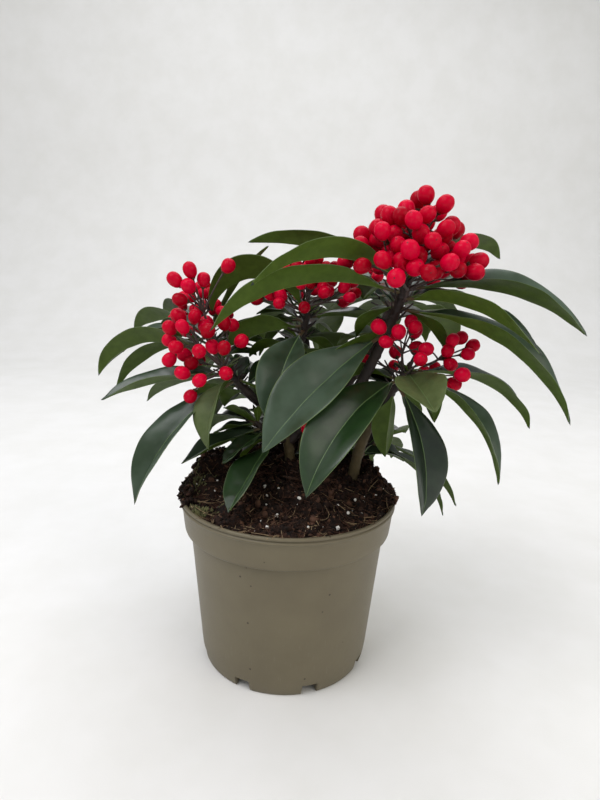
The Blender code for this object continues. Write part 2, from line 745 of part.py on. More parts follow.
def build_soil(where, cutters):
    """Builds the root ball and its crumbly top, with a socket for the foot of each stem."""
    collar_foot = POT_HEIGHT - COLLAR_HEIGHT
    inner_foot = BODY_FOOT_RADIUS - WALL - SOIL_CLEARANCE
    inner_top = BODY_TOP_RADIUS - WALL - SOIL_CLEARANCE
    wide_foot = COLLAR_FOOT_RADIUS - WALL - SOIL_CLEARANCE
    wide_top = COLLAR_TOP_RADIUS - WALL - 2 * SOIL_CLEARANCE
    floor = GROOVE_HEIGHT + WALL + SOIL_CLEARANCE
    rings = [
        (wide_top * ring / SOIL_TOP_RINGS, SOIL_EDGE_HEIGHT) for ring in range(SOIL_TOP_RINGS + 1)
    ]
    profile = rings + [
        (wide_foot, collar_foot + WALL + SOIL_CLEARANCE),
        (inner_top - 0.6 * MM, collar_foot + WALL + SOIL_CLEARANCE),
        (inner_foot - 1.4 * MM, floor + 3.0 * MM),
        (inner_foot - 3.0 * MM, floor),
        (PAD_RADIUS - 1.5 * WALL, floor),
        (PAD_RADIUS - 2.5 * WALL, WALL + SOIL_CLEARANCE),
        (0.0, WALL + SOIL_CLEARANCE),
    ]
    soil = turned("soil", profile, SOIL_SEGMENTS, where)
    depsgraph = bpy.context.evaluated_depsgraph_get()
    mesh = bpy.data.meshes.new_from_object(soil.evaluated_get(depsgraph))
    soil.modifiers.clear()
    soil.data = mesh
    for vertex in mesh.vertices:
        if vertex.co.z > SOIL_EDGE_HEIGHT - 0.1 * MM:
            vertex.co.z = soil_height(vertex.co.x, vertex.co.y)
    for name, limb in LIMBS.items():
        if len(limb.origin) == 3:
            foot = in_metres(limb.origin) - np.array((0, 0, GAP))
            width = limb.start_radius * (1 + FLARE) * MM + 2 * GAP
            top = foot + np.array((0, 0, SOCKET_HEIGHT))
            socket = rod(f"socket_{name}", foot, top, width, 8, cutters)
            socket.display_type = "WIRE"
            socket.hide_render = True
    cut(soil, cutters)
    mesh.materials.append(material("potting soil", (0.022, 0.012, 0.007), 0.95))
    return soil


# Assembly

def fuse(target, pieces):
    """Joins a collection of pieces to an object with one applied union, and drops scraps."""
    modifier = target.modifiers.new("fuse", "BOOLEAN")
    modifier.operation = "UNION"
    modifier.operand_type = "COLLECTION"
    modifier.collection = pieces
    modifier.solver = FUSE_SOLVER
    depsgraph = bpy.context.evaluated_depsgraph_get()
    mesh = bpy.data.meshes.new_from_object(target.evaluated_get(depsgraph))
    target.modifiers.clear()
    target.data = mesh
    for piece in list(pieces.objects):
        bpy.data.objects.remove(piece)
    bpy.data.collections.remove(pieces)
    keep_largest(mesh)


def keep_largest(mesh):
    """Triangulates a mesh and keeps only its largest connected shell."""
    shape = bmesh.new()
    shape.from_mesh(mesh)
    bmesh.ops.triangulate(shape, faces=shape.faces)
    bmesh.ops.dissolve_degenerate(shape, edges=shape.edges, dist=0.0005 * MM)
    shells = []
    unseen = set(shape.faces)
    while unseen:
        shell = [unseen.pop()]
        for face in shell:
            for edge in face.edges:
                for other in edge.link_faces:
                    if other in unseen:
                        unseen.remove(other)
                        shell.append(other)
        shells.append(shell)
    shells.sort(key=len)
    for shell in shells[:-1]:
        bmesh.ops.delete(shape, geom=shell, context="FACES")
    loose = [vertex for vertex in shape.verts if not vertex.link_faces]
    bmesh.ops.delete(shape, geom=loose, context="VERTS")
    shape.to_mesh(mesh)
    shape.free()


def place_berries(space, name, fruit):
    """Keeps the berries of a panicle that are free, and takes their room."""
    radius = fruit.berry * MM / 2
    kept = []
    for centre in berry_centres(name, fruit):
        start = stalk_start(fruit, centre)
        if space.berry_is_free(name, start, centre, radius):
            kept.append((start, centre))
    for start, centre in kept:
        space.add_berry(name, start, centre, radius)
    return [centre for start, centre in kept]


def plant_plan():
    """Works out the plant: the named leaves, then the fruit, then the seeded leaves."""
    space = Space()
    leaves = {name: [] for name in SHOOTS}
    berries = {}
    for name, limb in LIMBS.items():
        space.add_limb(name, *limb_path(limb))
    for name, shoot in SHOOTS.items():
        space.add_limb(name, *limb_path(shoot.stem))
    for name, shoot in SHOOTS.items():
        points = limb_path(shoot.stem)[0]
        for leaf in shoot.leaves:
            base = on_limb(points, leaf.at)
            settled = space.settle(name, base, leaf)
            if settled:
                leaves[name].append((base, settled))
    for name, shoot in SHOOTS.items():
        if shoot.fruit:
            berries[name] = place_berries(space, name, shoot.fruit)
    for name, shoot in SHOOTS.items():
        points = limb_path(shoot.stem)[0]
        wanted = len(leaves[name]) + shoot.seeded
        for leaf in seeded_leaves(name, shoot):
            base = on_limb(points, leaf.at)
            if len(leaves[name]) < wanted and space.is_free(name, base, leaf):
                space.take(name, base, leaf)
                leaves[name].append((base, leaf))
    return leaves, berries


def main():
    """Builds the pot, the soil, the limbs and the masses."""
    for item in list(bpy.data.objects):
        bpy.data.objects.remove(item)
    parts = collection("skimmia")
    notches = collection("notch_cutters")
    sockets = collection("socket_cutters")
    bark = material("bark", (0.045, 0.030, 0.020), 0.7)
    for name, limb in LIMBS.items():
        tube(name, *limb_path(limb), 2, parts).data.materials.append(bark.copy())
    leaves, berries = plant_plan()
    for name, shoot in SHOOTS.items():
        mass = tube(name, *limb_path(shoot.stem, STEM_STEPS), 1, parts)
        pieces = collection(f"{name}_pieces")
        for number, (base, leaf) in enumerate(leaves[name]):
            sections = blade_sections(base, leaf)
            mesh_object(f"{name}_leaf_{number}", *blade_mesh(sections, LEAF_STATIONS), pieces)
        if shoot.fruit:
            add_panicle(name, shoot.fruit, berries[name], pieces)
        fuse(mass, pieces)
        mass.data.materials.append(material(f"{name} foliage", (0.020, 0.050, 0.018), 0.4))
    build_pot(parts, notches)
    build_soil(parts, sockets)


if __name__ == "__main__":
    main()
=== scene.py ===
"""Potted skimmia with ripe fruit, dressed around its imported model, in metres, +Z up.

The model gives each shoot as a coarse closed mass. Here the same rule that placed those
masses is worked out again, so every leaf, stalk and berry lies where the model has it, and
each is carried finer: blades with a folded midrib and side veins, limbs with bark and leaf
scars, branched stalks, berries with a calyx and a dark tip, and peat with fibres and chips.
The pot stands on the origin. The plant's front faces -Y, and +X is its right-hand side.
"""

import itertools
import logging
import math
import random
from dataclasses import dataclass, field, replace
from enum import Enum, IntEnum

import bpy
import numpy as np
from mathutils import Matrix, Vector, noise
from mathutils.bvhtree import BVHTree


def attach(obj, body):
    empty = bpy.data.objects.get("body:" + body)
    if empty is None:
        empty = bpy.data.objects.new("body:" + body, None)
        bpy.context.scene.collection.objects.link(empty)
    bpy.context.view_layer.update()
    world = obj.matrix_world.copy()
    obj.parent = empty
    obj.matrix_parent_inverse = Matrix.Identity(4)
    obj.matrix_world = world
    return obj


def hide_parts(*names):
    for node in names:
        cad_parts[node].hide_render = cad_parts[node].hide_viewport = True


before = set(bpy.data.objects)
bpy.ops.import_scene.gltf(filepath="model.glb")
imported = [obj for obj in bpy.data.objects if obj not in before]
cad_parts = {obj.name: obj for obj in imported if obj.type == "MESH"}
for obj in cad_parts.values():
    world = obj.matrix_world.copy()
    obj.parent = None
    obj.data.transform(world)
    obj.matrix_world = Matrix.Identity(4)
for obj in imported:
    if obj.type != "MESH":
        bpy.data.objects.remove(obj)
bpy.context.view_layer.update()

MM = 0.001
SEED = 57
GOLDEN_ANGLE = 137.508
UP = (0.0, 0.0, 1.0)
BODY = "root"
PIECE_LIMIT = 200_000

log = logging.getLogger("skimmia")


# The plant's rule, the same as the model's

@dataclass(frozen=True)
class Leaf:
    """One leaf: angles in degrees, sizes in millimetres, at = place along its stem, 0 to 1."""

    heading: float
    rise: float
    droop: float
    length: float
    width: float = 27.0
    roll: float = 0.0
    at: float = 0.85


@dataclass(frozen=True)
class Fruit:
    """A panicle: foot, top and spread in millimetres, and how many berries it carries."""

    foot: tuple[float, float, float]
    top: tuple[float, float, float]
    radius: float
    count: int
    berry: float


@dataclass(frozen=True)
class Limb:
    """A tapering limb, in millimetres, with a direction at each end.

    Its origin is a point in the soil, or the limb it grows from and how far along it, where
    1.0 is that limb's tip, which it carries on from in the same direction.
    """

    origin: tuple
    end: tuple[float, float, float]
    start_radius: float
    end_radius: float
    leave: tuple[float, float, float]
    arrive: tuple[float, float, float]


@dataclass(frozen=True)
class Shoot:
    """A mass: the stem it grows on, its named leaves, its seeded leaves and its fruit."""

    stem: Limb
    leaves: tuple[Leaf, ...]
    seeded: int = 0
    sector: tuple[float, float] = (0.0, 360.0)
    seeded_rise: float = 25.0
    seeded_length: float = 80.0
    fruit: Fruit | None = None


LIMBS: dict[str, Limb] = {
    "stem_left": Limb((0, 22, 111.5), (-7, 16, 139), 3.3, 2.8, UP, (-3, -1, 4)),
    "bough_left": Limb(("stem_left", 1.0), (-27, 7, 165), 2.6, 2.2, UP, (-6, -4, 6)),
    "bough_centre": Limb(("stem_left", 0.6), (4, 16, 190), 2.3, 2.0, (5, 0, 6), (1, -2, 9)),
    "stem_centre": Limb((14, 10, 110.5), (28, 0, 152), 3.8, 3.4, UP, (5, -4, 9)),
    "bough_top": Limb(("stem_centre", 1.0), (49, -19, 202), 3.2, 2.9, UP, (3, -3, 9)),
    "stem_right": Limb((40, 8, 106.5), (54, -9, 166), 3.4, 2.8, UP, (4, -5, 9)),
    "stem_back": Limb((8, 41, 110.5), (12, 47, 150), 3.5, 3.0, UP, (1, 1, 8)),
    "bough_back_centre": Limb(("stem_back", 1.0), (7, 56, 196), 2.8, 2.3, UP, (-1, 1, 9)),
    "bough_back_right": Limb(("stem_back", 0.6), (58, 44, 206), 2.4, 2.1, (7, 1, 6), (3, 1, 9)),
    "bough_back_left": Limb(("stem_back", 0.35), (-48, 42, 178), 2.4, 2.0, (-7, 1, 6), (-4, 1, 8)),
}

SHOOTS: dict[str, Shoot] = {
    "mass_top": Shoot(
        Limb(("bough_top", 1.0), (59, -29, 236), 2.7, 2.4, UP, (2, -2, 9)),
        (
            Leaf(-153, -30, 22, 94, 35, 30, 0.15),
            Leaf(-13, 12, 52, 96, 27, 14, 0.80),
            Leaf(-46, 8, 47, 84, 25, 34, 0.66),
            Leaf(-21, -2, 61, 110, 25, 18, 0.52),
            Leaf(-157, 28, 66, 90, 23, -24, 0.92),
            Leaf(-168, 17, 63, 108, 24, -26, 0.74),
            Leaf(156, 21, 25, 97, 21, -25, 0.98),
            Leaf(32, 42, 70, 74, 22, 10, 0.95),
            Leaf(178, -42, 6, 50, 24, -20, 0.30),
        ),
        6, (45, 150), 28, 82,
        Fruit((59, -29, 230), (64, -32, 272), 35, 52, 9.6),
    ),
    "mass_front_right": Shoot(
        Limb(("stem_right", 1.0), (63, -22, 186), 2.6, 2.2, UP, (3, -5, 8)),
        (
            Leaf(-134, -8, 58, 94, 31, 16, 0.75),
            Leaf(-86, -4, 6, 60, 26, -12, 0.95),
            Leaf(-52, -44, 58, 78, 23, 10, 0.55),
            Leaf(-37, -6, 76, 82, 22, 10, 0.85),
            Leaf(5, 8, 68, 86, 22, 6, 0.92),
            Leaf(120, -80, 12, 42, 18, 0, 0.40),
            Leaf(49, -12, 50, 58, 18, 0, 0.60),
        ),
        3, (40, 150), 10, 66,
        Fruit((63, -21, 184), (71, -15, 202), 33, 21, 8.2),
    ),
    "mass_centre": Shoot(
        Limb(("bough_centre", 1.0), (8, 10, 214), 1.9, 1.7, UP, (1, -2, 9)),
        (
            Leaf(-112, -22, 56, 68, 27, 10, 0.50),
            Leaf(171, -6, 27, 52, 24, -35, 0.60),
            Leaf(-178, 64, 142, 74, 34, -20, 0.85),
            Leaf(15, 10, 40, 58, 20, 0, 0.80),
        ),
        3, (50, 150), 20, 60,
        Fruit((8, 10, 214), (6, 10, 246), 30, 25, 7.6),
    ),
    "mass_left": Shoot(
        Limb(("bough_left", 1.0), (-39, -1, 180), 2.1, 1.8, UP, (-6, -4, 6)),
        (
            Leaf(162, 34, 92, 101, 25, -16, 0.90),
            Leaf(-170, -2, 22, 76, 20, -14, 0.75),
            Leaf(-156, -29, 45, 96, 28, 16, 0.50),
            Leaf(-112, -14, 90, 52, 24, -30, 0.65),
            Leaf(146, 60, 85, 64, 16, 0, 0.95),
        ),
        3, (80, 160), 12, 68,
        Fruit((-39, -3, 180), (-66, -14, 207), 23, 24, 9.0),
    ),
    "mass_low_left": Shoot(
        Limb(("stem_left", 0.68), (-21, 6, 146), 1.9, 1.6, (-6, -7, 3), (-7, -1, 6)),
        (
            Leaf(-158, -16, 10, 53, 21, 0, 0.75),
            Leaf(-132, -10, 12, 40, 14, 0, 0.60),
            Leaf(-107, -26, 8, 72, 24, 10, 0.30),
            Leaf(169, -6, 23, 30, 11, 0, 0.90),
        ),
        3, (95, 160), 10, 56,
    ),
    "mass_low_right": Shoot(
        Limb(("stem_right", 0.3), (53, 24, 136), 1.9, 1.6, (4, 8, 5), (5, 8, 5)),
        (
            Leaf(10, -19, 43, 82, 14, 0, 0.80),
            Leaf(-7, -14, 62, 72, 14, 0, 0.60),
        ),
        3, (40, 130), 12, 64,
    ),
    "mass_back_right": Shoot(
        Limb(("bough_back_right", 1.0), (64, 48, 230), 2.0, 1.7, UP, (2, 1, 9)),
        (),
        9, (15, 165), 22, 78,
        Fruit((64, 48, 230), (65, 48, 256), 20, 11, 8.2),
    ),
    "mass_back_centre": Shoot(
        Limb(("bough_back_centre", 1.0), (5, 60, 216), 2.1, 1.8, UP, (-1, 1, 9)),
        (),
        9, (10, 175), 14, 78,
        Fruit((5, 60, 216), (4, 60, 238), 18, 10, 8.0),
    ),
    "mass_back_left": Shoot(
        Limb(("bough_back_left", 1.0), (-58, 44, 198), 1.9, 1.6, UP, (-4, 1, 8)),
        (Leaf(24, 61, 16, 70, 16, 20, 0.80),),
        8, (55, 186), 16, 72,
        Fruit((-58, 44, 198), (-62, 44, 226), 20, 11, 7.6),
    ),
    "mass_back_low": Shoot(
        Limb(("stem_back", 0.2), (14, 64, 138), 2.0, 1.7, (1, 8, 5), (2, 8, 7)),
        (),
        8, (20, 165), 12, 78,
    ),
}


def in_metres(point: tuple) -> np.ndarray:
    """Turns a point given in millimetres into a vector in metres."""
    return np.array(point, float) * MM


def unit(vector: tuple | np.ndarray) -> np.ndarray:
    """Gives a vector of length one."""
    return np.array(vector, float) / np.linalg.norm(vector)


def normed(rows: np.ndarray) -> np.ndarray:
    """Gives every row the length one."""
    return rows / np.linalg.norm(rows, axis=-1, keepdims=True)


def distances(points: np.ndarray) -> np.ndarray:
    """Gives how far along a path each of its points is."""
    return np.concatenate([[0.0], np.cumsum(np.linalg.norm(np.diff(points, axis=0), axis=1))])


def on_path(points: np.ndarray, share: float) -> np.ndarray:
    """Gives the point a share of the way along a path.

    Args:
        points: the path.
        share: the share, from 0 to 1.

    Returns:
        The point.
    """
    place = share * (len(points) - 1)
    low = min(int(place), len(points) - 2)
    return points[low] + (points[low + 1] - points[low]) * (place - low)


def dome_frame(fruit: Fruit) -> tuple[np.ndarray, float, np.ndarray]:
    """Gives the frame in which a panicle's dome of berries is laid out.

    Args:
        fruit: the panicle.

    Returns:
        Its foot, its height, and the turn from upright to its axis.
    """
    foot = in_metres(fruit.foot)
    axis = in_metres(fruit.top) - foot
    turned = np.array(Vector(axis).to_track_quat("Z", "Y").to_matrix()).T
    return foot, float(np.linalg.norm(axis)), turned


@dataclass(frozen=True)
class LimbRule:
    """How a limb runs: a smooth curve that leaves its parent and arrives as told."""

    gap: float = 0.3 * MM
    steps: int = 7
    straight: float = 4.0 * MM
    pull: float = 0.8
    flare: float = 0.2
    flare_length: float = 5.0 * MM
    flats: float = 0.95

    def root(self, limb: Limb) -> tuple[np.ndarray, np.ndarray]:
        """Finds where a limb starts, a gap clear of the limb that it grows from.

        Args:
            limb: the limb.

        Returns:
            The start in metres, and the direction in which it leaves.
        """
        leave = unit(limb.leave)
        if len(limb.origin) == 3:
            return in_metres(limb.origin), leave
        name, share = limb.origin
        points, radii = self.path(LIMBS[name])
        if share == 1.0:
            along = unit(LIMBS[name].arrive)
            return points[-1] + along * self.gap, along
        along = unit(on_path(points, share + 0.03) - on_path(points, share - 0.03))
        thick = np.interp(share, np.linspace(0, 1, len(radii)), radii)
        cosine = float(along @ leave)
        sine = math.sqrt(1 - cosine**2)
        out = (self.flats * thick + self.gap + self.flats * limb.start_radius * MM * cosine) / sine
        return on_path(points, share) + leave * out, leave

    def path(self, limb: Limb, steps: int = 0) -> tuple[np.ndarray, np.ndarray]:
        """Follows the limb: (2t³-3t²+1) a + (t³-2t²+t) a' + (3t²-2t³) b + (t³-t²) b'.

        Args:
            limb: the limb.
            steps: how many points the curve has, or 0 for the rule's own.

        Returns:
            The points along the limb and the radius at each.
        """
        start, leave = self.root(limb)
        end = in_metres(limb.end)
        arrive = unit(limb.arrive)
        reach = np.linalg.norm(end - start)
        straight = min(0.1 * reach, self.straight)
        first = start + leave * straight
        last = end - arrive * straight
        t = np.linspace(0.0, 1.0, steps or self.steps)[:, None]
        pull = self.pull * reach
        curve = (
            (2 * t**3 - 3 * t**2 + 1) * first
            + (t**3 - 2 * t**2 + t) * leave * pull
            + (3 * t**2 - 2 * t**3) * last
            + (t**3 - t**2) * arrive * pull
        )
        points = np.vstack([start, curve, end])
        travelled = distances(points)
        share = travelled / travelled[-1]
        radii = (limb.start_radius + (limb.end_radius - limb.start_radius) * share) * MM
        if len(limb.origin) == 3:
            radii *= 1 + self.flare * np.exp(-travelled / self.flare_length)
        return points, radii


@dataclass(frozen=True)
class LeafRule:
    """How a leaf runs: a midrib that droops along its length, and a folded blade on it."""

    steps: int = 24
    fold: float = 20.0
    thickness: float = 1.3 * MM
    petiole_share: float = 0.08
    petiole_width: float = 2.6 * MM
    opens: float = 1.25
    closes: float = 1.1
    droop_power: float = 1.2
    clearance: float = 0.7 * MM
    guard_starts: tuple[int, int] = (3, 9)

    def midrib(self, base: np.ndarray, leaf: Leaf, steps: int = 0) -> np.ndarray:
        """Follows the midrib: its rise at share s of its length is rise - droop s^1.2.

        Args:
            base: where the leaf leaves its stem.
            leaf: the leaf.
            steps: how many steps it is followed in, or 0 for the rule's own.

        Returns:
            The points along the midrib.
        """
        steps = steps or self.steps
        share = (np.arange(steps) + 0.5) / steps
        rise = np.radians(leaf.rise - leaf.droop * share**self.droop_power)
        heading = math.radians(leaf.heading)
        ways = np.stack(
            [np.cos(rise) * math.cos(heading), np.cos(rise) * math.sin(heading), np.sin(rise)],
            axis=1,
        )
        reach = np.cumsum(ways, axis=0) * leaf.length * MM / steps
        return np.vstack([base, base + reach])

    def half_width(self, leaf: Leaf, share: np.ndarray) -> np.ndarray:
        """Gives half the blade's width at each share b of the blade: b^1.25 (1-b)^1.1, scaled.

        Args:
            leaf: the leaf.
            share: shares of the leaf's length.

        Returns:
            Half the width at each share.
        """
        blade = np.clip((share - self.petiole_share) / (1 - self.petiole_share), 0.0, 1.0)
        widest = self.opens / (self.opens + self.closes)
        fullest = widest**self.opens * (1 - widest) ** self.closes
        outline = blade**self.opens * (1 - blade) ** self.closes / fullest
        return np.maximum(outline * leaf.width * MM / 2, self.petiole_width / 2 * (1 - share))

    def frames(self, points: np.ndarray, roll: float) -> tuple[np.ndarray, np.ndarray]:
        """Gives the sideways and upward directions along a midrib, turned by the leaf's roll.

        Args:
            points: the midrib.
            roll: the roll, in degrees.

        Returns:
            Both directions at each point.
        """
        along = normed(np.gradient(points, axis=0))
        side = np.cross(along, UP)
        side /= np.maximum(np.linalg.norm(side, axis=1), 1e-6)[:, None]
        above = np.cross(side, along)
        turn = math.radians(roll)
        return (
            math.cos(turn) * side + math.sin(turn) * above,
            math.cos(turn) * above - math.sin(turn) * side,
        )

    def sections(self, base: np.ndarray, leaf: Leaf) -> np.ndarray:
        """Gives left edge, top, right edge and underside at each step, with the room round it.

        Args:
            base: where the leaf leaves its stem.
            leaf: the leaf.

        Returns:
            Four points for each step.
        """
        points = self.midrib(base, leaf)
        side, above = self.frames(points, leaf.roll)
        share = np.linspace(0.0, 1.0, self.steps + 1)
        half = (self.half_width(leaf, share) + self.clearance)[:, None]
        fold = math.radians(self.fold)
        lift = half * math.sin(fold) * above
        out = half * math.cos(fold) * side
        thick = self.thickness / 2 + self.clearance
        top = points + above * thick
        under = points - above * thick
        return np.stack([points - out + lift, top, points + out + lift, under], axis=1)

    def guard(self, sections: np.ndarray, start: int) -> BVHTree:
        """Gives the room that a blade takes from one of its steps to its tip.

        Args:
            sections: the blade's sections.
            start: the step from which the room counts.

        Returns:
            A tree of the closed blade's faces.
        """
        rings = sections[start:-1]
        tip = sections[-1].mean(axis=0)
        last = 4 * len(rings)
        faces = [(0, 1, 2), (0, 2, 3)]
        for ring, corner in itertools.product(range(len(rings) - 1), range(4)):
            a = ring * 4 + corner
            b = ring * 4 + (corner + 1) % 4
            faces += [(a, b, b + 4), (a, b + 4, a + 4)]
        foot = last - 4
        faces += [(foot + corner, foot + (corner + 1) % 4, last) for corner in range(4)]
        return BVHTree.FromPolygons(np.vstack([rings.reshape(-1, 3), tip]).tolist(), faces)


@dataclass(frozen=True)
class FruitRule:
    """How a panicle carries its berries: on a dome round its axis, pushed apart."""

    lengthening: float = 1.1
    pedicel: float = 0.65 * MM
    stalk_top: float = 0.66
    stalk_drop: float = 0.32
    spacing: float = 1.16
    scatter: float = 1.2 * MM
    foot: float = 0.12
    rounds: int = 40
    clearance: float = 0.3 * MM

    def centres(self, name: str, fruit: Fruit) -> np.ndarray:
        """Spreads berries over a dome of radius R (1 - level^2.2)^0.7, then pushes them apart.

        Args:
            name: the mass, which seeds the scatter.
            fruit: the panicle.

        Returns:
            The centre of each berry.
        """
        draw = random.Random(f"{SEED} fruit {name}")
        foot, height, turned = dome_frame(fruit)
        number = np.arange(fruit.count)
        level = self.foot + (1 - self.foot) * (number / (fruit.count - 1)) ** 1.15
        turn = np.radians(number * GOLDEN_ANGLE)
        dome = fruit.radius * MM * (1 - level**2.2) ** 0.7
        local = np.stack([dome * np.cos(turn), dome * np.sin(turn), level * height], axis=1)
        local += np.array([[draw.gauss(0, self.scatter) for _ in range(3)] for _ in number])
        apart = fruit.berry * MM * self.spacing
        for _ in range(self.rounds):
            between = local[:, None] - local[None]
            distance = np.linalg.norm(between, axis=2) + np.eye(fruit.count)
            short = np.clip(apart - distance, 0, None) * (1 - np.eye(fruit.count))
            local += 0.4 * (between / distance[..., None] * short[..., None]).sum(axis=1)
        return foot + local @ turned

    def start(self, fruit: Fruit, centre: np.ndarray) -> np.ndarray:
        """Gives where a berry's stalk leaves the panicle's axis, some way below the berry.

        Args:
            fruit: the panicle.
            centre: the berry's centre.

        Returns:
            The place, in metres.
        """
        foot = in_metres(fruit.foot)
        axis = in_metres(fruit.top) - foot
        level = np.dot(centre - foot, axis) / np.dot(axis, axis) - self.stalk_drop
        return foot + axis * min(max(level, 0.0), self.stalk_top)

    def places(self, start: np.ndarray, centre: np.ndarray) -> list[Vector]:
        """Gives five places along a berry's stalk."""
        return [Vector(start + (centre - start) * share) for share in np.linspace(0.1, 0.9, 5)]


@dataclass(frozen=True)
class GroundRule:
    """The pot's rim and the soil's surface, from which leaves keep clear."""

    rim_radius: float = 65.0 * MM
    rim_height: float = 105.0 * MM
    inside: float = 64.0 * MM
    edge: float = 103.5 * MM
    back_rise: float = 2.5 * MM
    back_reach: float = 59.0 * MM
    mound: float = 10.0 * MM
    centre: tuple[float, float] = (5.0 * MM, 20.0 * MM)
    spread: float = 30.0 * MM
    crumb: float = 1.5 * MM
    crumb_size: float = 9.0 * MM
    clearance: float = 1.2 * MM

    def height(self, x: float, y: float) -> float:
        """Gives the height of the soil's surface: a low mound that rises to the back.

        Args:
            x: a place, in metres.
            y: a place, in metres.

        Returns:
            The height there.
        """
        away = ((x - self.centre[0]) ** 2 + (y - self.centre[1]) ** 2) / (2 * self.spread**2)
        height = self.edge + self.back_rise * y / self.back_reach + self.mound * math.exp(-away)
        crumbs = noise.noise(Vector((x / self.crumb_size, y / self.crumb_size, 0.5)))
        return height + self.crumb * crumbs

    def clears(self, points: np.ndarray) -> bool:
        """Says whether all points lie above the soil and the rim, or outside the pot.

        Args:
            points: the points.

        Returns:
            True if they do.
        """
        for x, y, z in points:
            away = math.hypot(x, y)
            if away < self.inside and z < self.height(x, y) + self.clearance:
                return False
            if away < self.rim_radius + self.clearance and z < self.rim_height + self.clearance:
                return False
        return True


class Space:
    """Remembers what is taken, so that what would touch it is turned or skipped."""

    NUDGES = ((0, 0), (6, 0), (-6, 0), (0, 6), (0, -6), (12, 0), (-12, 0), (0, 12), (0, -12))

    def __init__(self, leaf_rule: LeafRule, fruit_rule: FruitRule, ground: GroundRule) -> None:
        """Starts with nothing taken.

        Args:
            leaf_rule: how leaves run.
            fruit_rule: how panicles carry their berries.
            ground: the pot's rim and the soil.
        """
        self.leaf_rule = leaf_rule
        self.fruit_rule = fruit_rule
        self.ground = ground
        self.blades: list[tuple[str, BVHTree, BVHTree]] = []
        self.limbs: list[tuple[str, Vector, float]] = []
        self.berries: list[tuple[str, Vector, float]] = []

    def add_limb(self, mass: str, points: np.ndarray, radii: np.ndarray) -> None:
        """Takes the room of a limb as a chain of balls.

        Args:
            mass: the mass or the limb that it belongs to.
            points: its path.
            radii: its radius at each point.
        """
        fine = np.linspace(0, 1, 4 * len(points))
        sizes = np.interp(fine, np.linspace(0, 1, len(radii)), radii)
        for share, size in zip(fine, sizes):
            self.limbs.append((mass, Vector(on_path(points, share)), size))

    def berry_is_free(
        self, mass: str, start: np.ndarray, centre: np.ndarray, radius: float
    ) -> bool:
        """Says whether a berry and its stalk keep clear of every leaf and other mass.

        Args:
            mass: the mass that carries the berry.
            start: where its stalk leaves the axis.
            centre: the berry's centre.
            radius: the berry's radius.

        Returns:
            True if it is free.
        """
        rule = self.fruit_rule
        middle = Vector(centre)
        for _, whole, _ in self.blades:
            if whole.find_nearest(middle, radius + rule.clearance)[0] is not None:
                return False
        for place in rule.places(start, centre):
            for owner, whole, _ in self.blades:
                if owner != mass and whole.find_nearest(place, 2 * rule.pedicel)[0] is not None:
                    return False
            for owner, other, size in self.limbs + self.berries:
                reach = size + 2 * rule.pedicel + rule.clearance
                if owner != mass and (place - other).length < reach:
                    return False
        for owner, other, size in self.limbs + self.berries:
            reach = size + radius * rule.lengthening + rule.clearance
            if owner != mass and (middle - other).length < reach:
                return False
        return True

    def add_berry(self, mass: str, start: np.ndarray, centre: np.ndarray, radius: float) -> None:
        """Takes the room of a berry, which every leaf keeps from, and of its stalk.

        Args:
            mass: the mass that carries the berry.
            start: where its stalk leaves the axis.
            centre: the berry's centre.
            radius: the berry's radius.
        """
        self.berries.append((mass, Vector(centre), radius * self.fruit_rule.lengthening))
        for place in self.fruit_rule.places(start, centre):
            self.limbs.append((mass, place, 2 * self.fruit_rule.pedicel))

    def is_free(self, mass: str, base: np.ndarray, leaf: Leaf) -> bool:
        """Says whether a leaf keeps clear of pot, soil, limbs, berries and other leaves.

        Args:
            mass: the mass that carries the leaf.
            base: where it leaves its stem.
            leaf: the leaf.

        Returns:
            True if it is free.
        """
        if not self.ground.clears(self.leaf_rule.sections(base, leaf).reshape(-1, 3)):
            return False
        whole, siblings = self.trees(base, leaf)
        for owner, centre, size in self.limbs:
            tree = siblings if owner == mass else whole
            if tree.find_nearest(centre, size)[0] is not None:
                return False
        for _, centre, size in self.berries:
            if whole.find_nearest(centre, size)[0] is not None:
                return False
        for owner, other_whole, other_siblings in self.blades:
            if owner == mass and siblings.overlap(other_siblings):
                return False
            if owner != mass and whole.overlap(other_whole):
                return False
        return True

    def trees(self, base: np.ndarray, leaf: Leaf) -> tuple[BVHTree, BVHTree]:
        """Gives a blade's room: from its stalk on, and the part that siblings keep from.

        Args:
            base: where the leaf leaves its stem.
            leaf: the leaf.

        Returns:
            The two rooms.
        """
        sections = self.leaf_rule.sections(base, leaf)
        others, siblings = self.leaf_rule.guard_starts
        return self.leaf_rule.guard(sections, others), self.leaf_rule.guard(sections, siblings)

    def takes(self, mass: str, base: np.ndarray, leaf: Leaf) -> bool:
        """Takes the room of a leaf if it is free.

        Args:
            mass: the mass that carries the leaf.
            base: where it leaves its stem.
            leaf: the leaf.

        Returns:
            True if it was free.
        """
        free = self.is_free(mass, base, leaf)
        if free:
            self.blades.append((mass, *self.trees(base, leaf)))
        return free

    def settle(self, mass: str, base: np.ndarray, leaf: Leaf) -> Leaf | None:
        """Turns a leaf a little until it is free.

        Args:
            mass: the mass that carries the leaf.
            base: where it leaves its stem.
            leaf: the leaf as named.

        Returns:
            The leaf as it lies, or None if it never is free.
        """
        for turn, lift in self.NUDGES:
            tried = replace(leaf, heading=leaf.heading + turn, rise=leaf.rise + lift)
            if self.takes(mass, base, tried):
                return tried
        return None


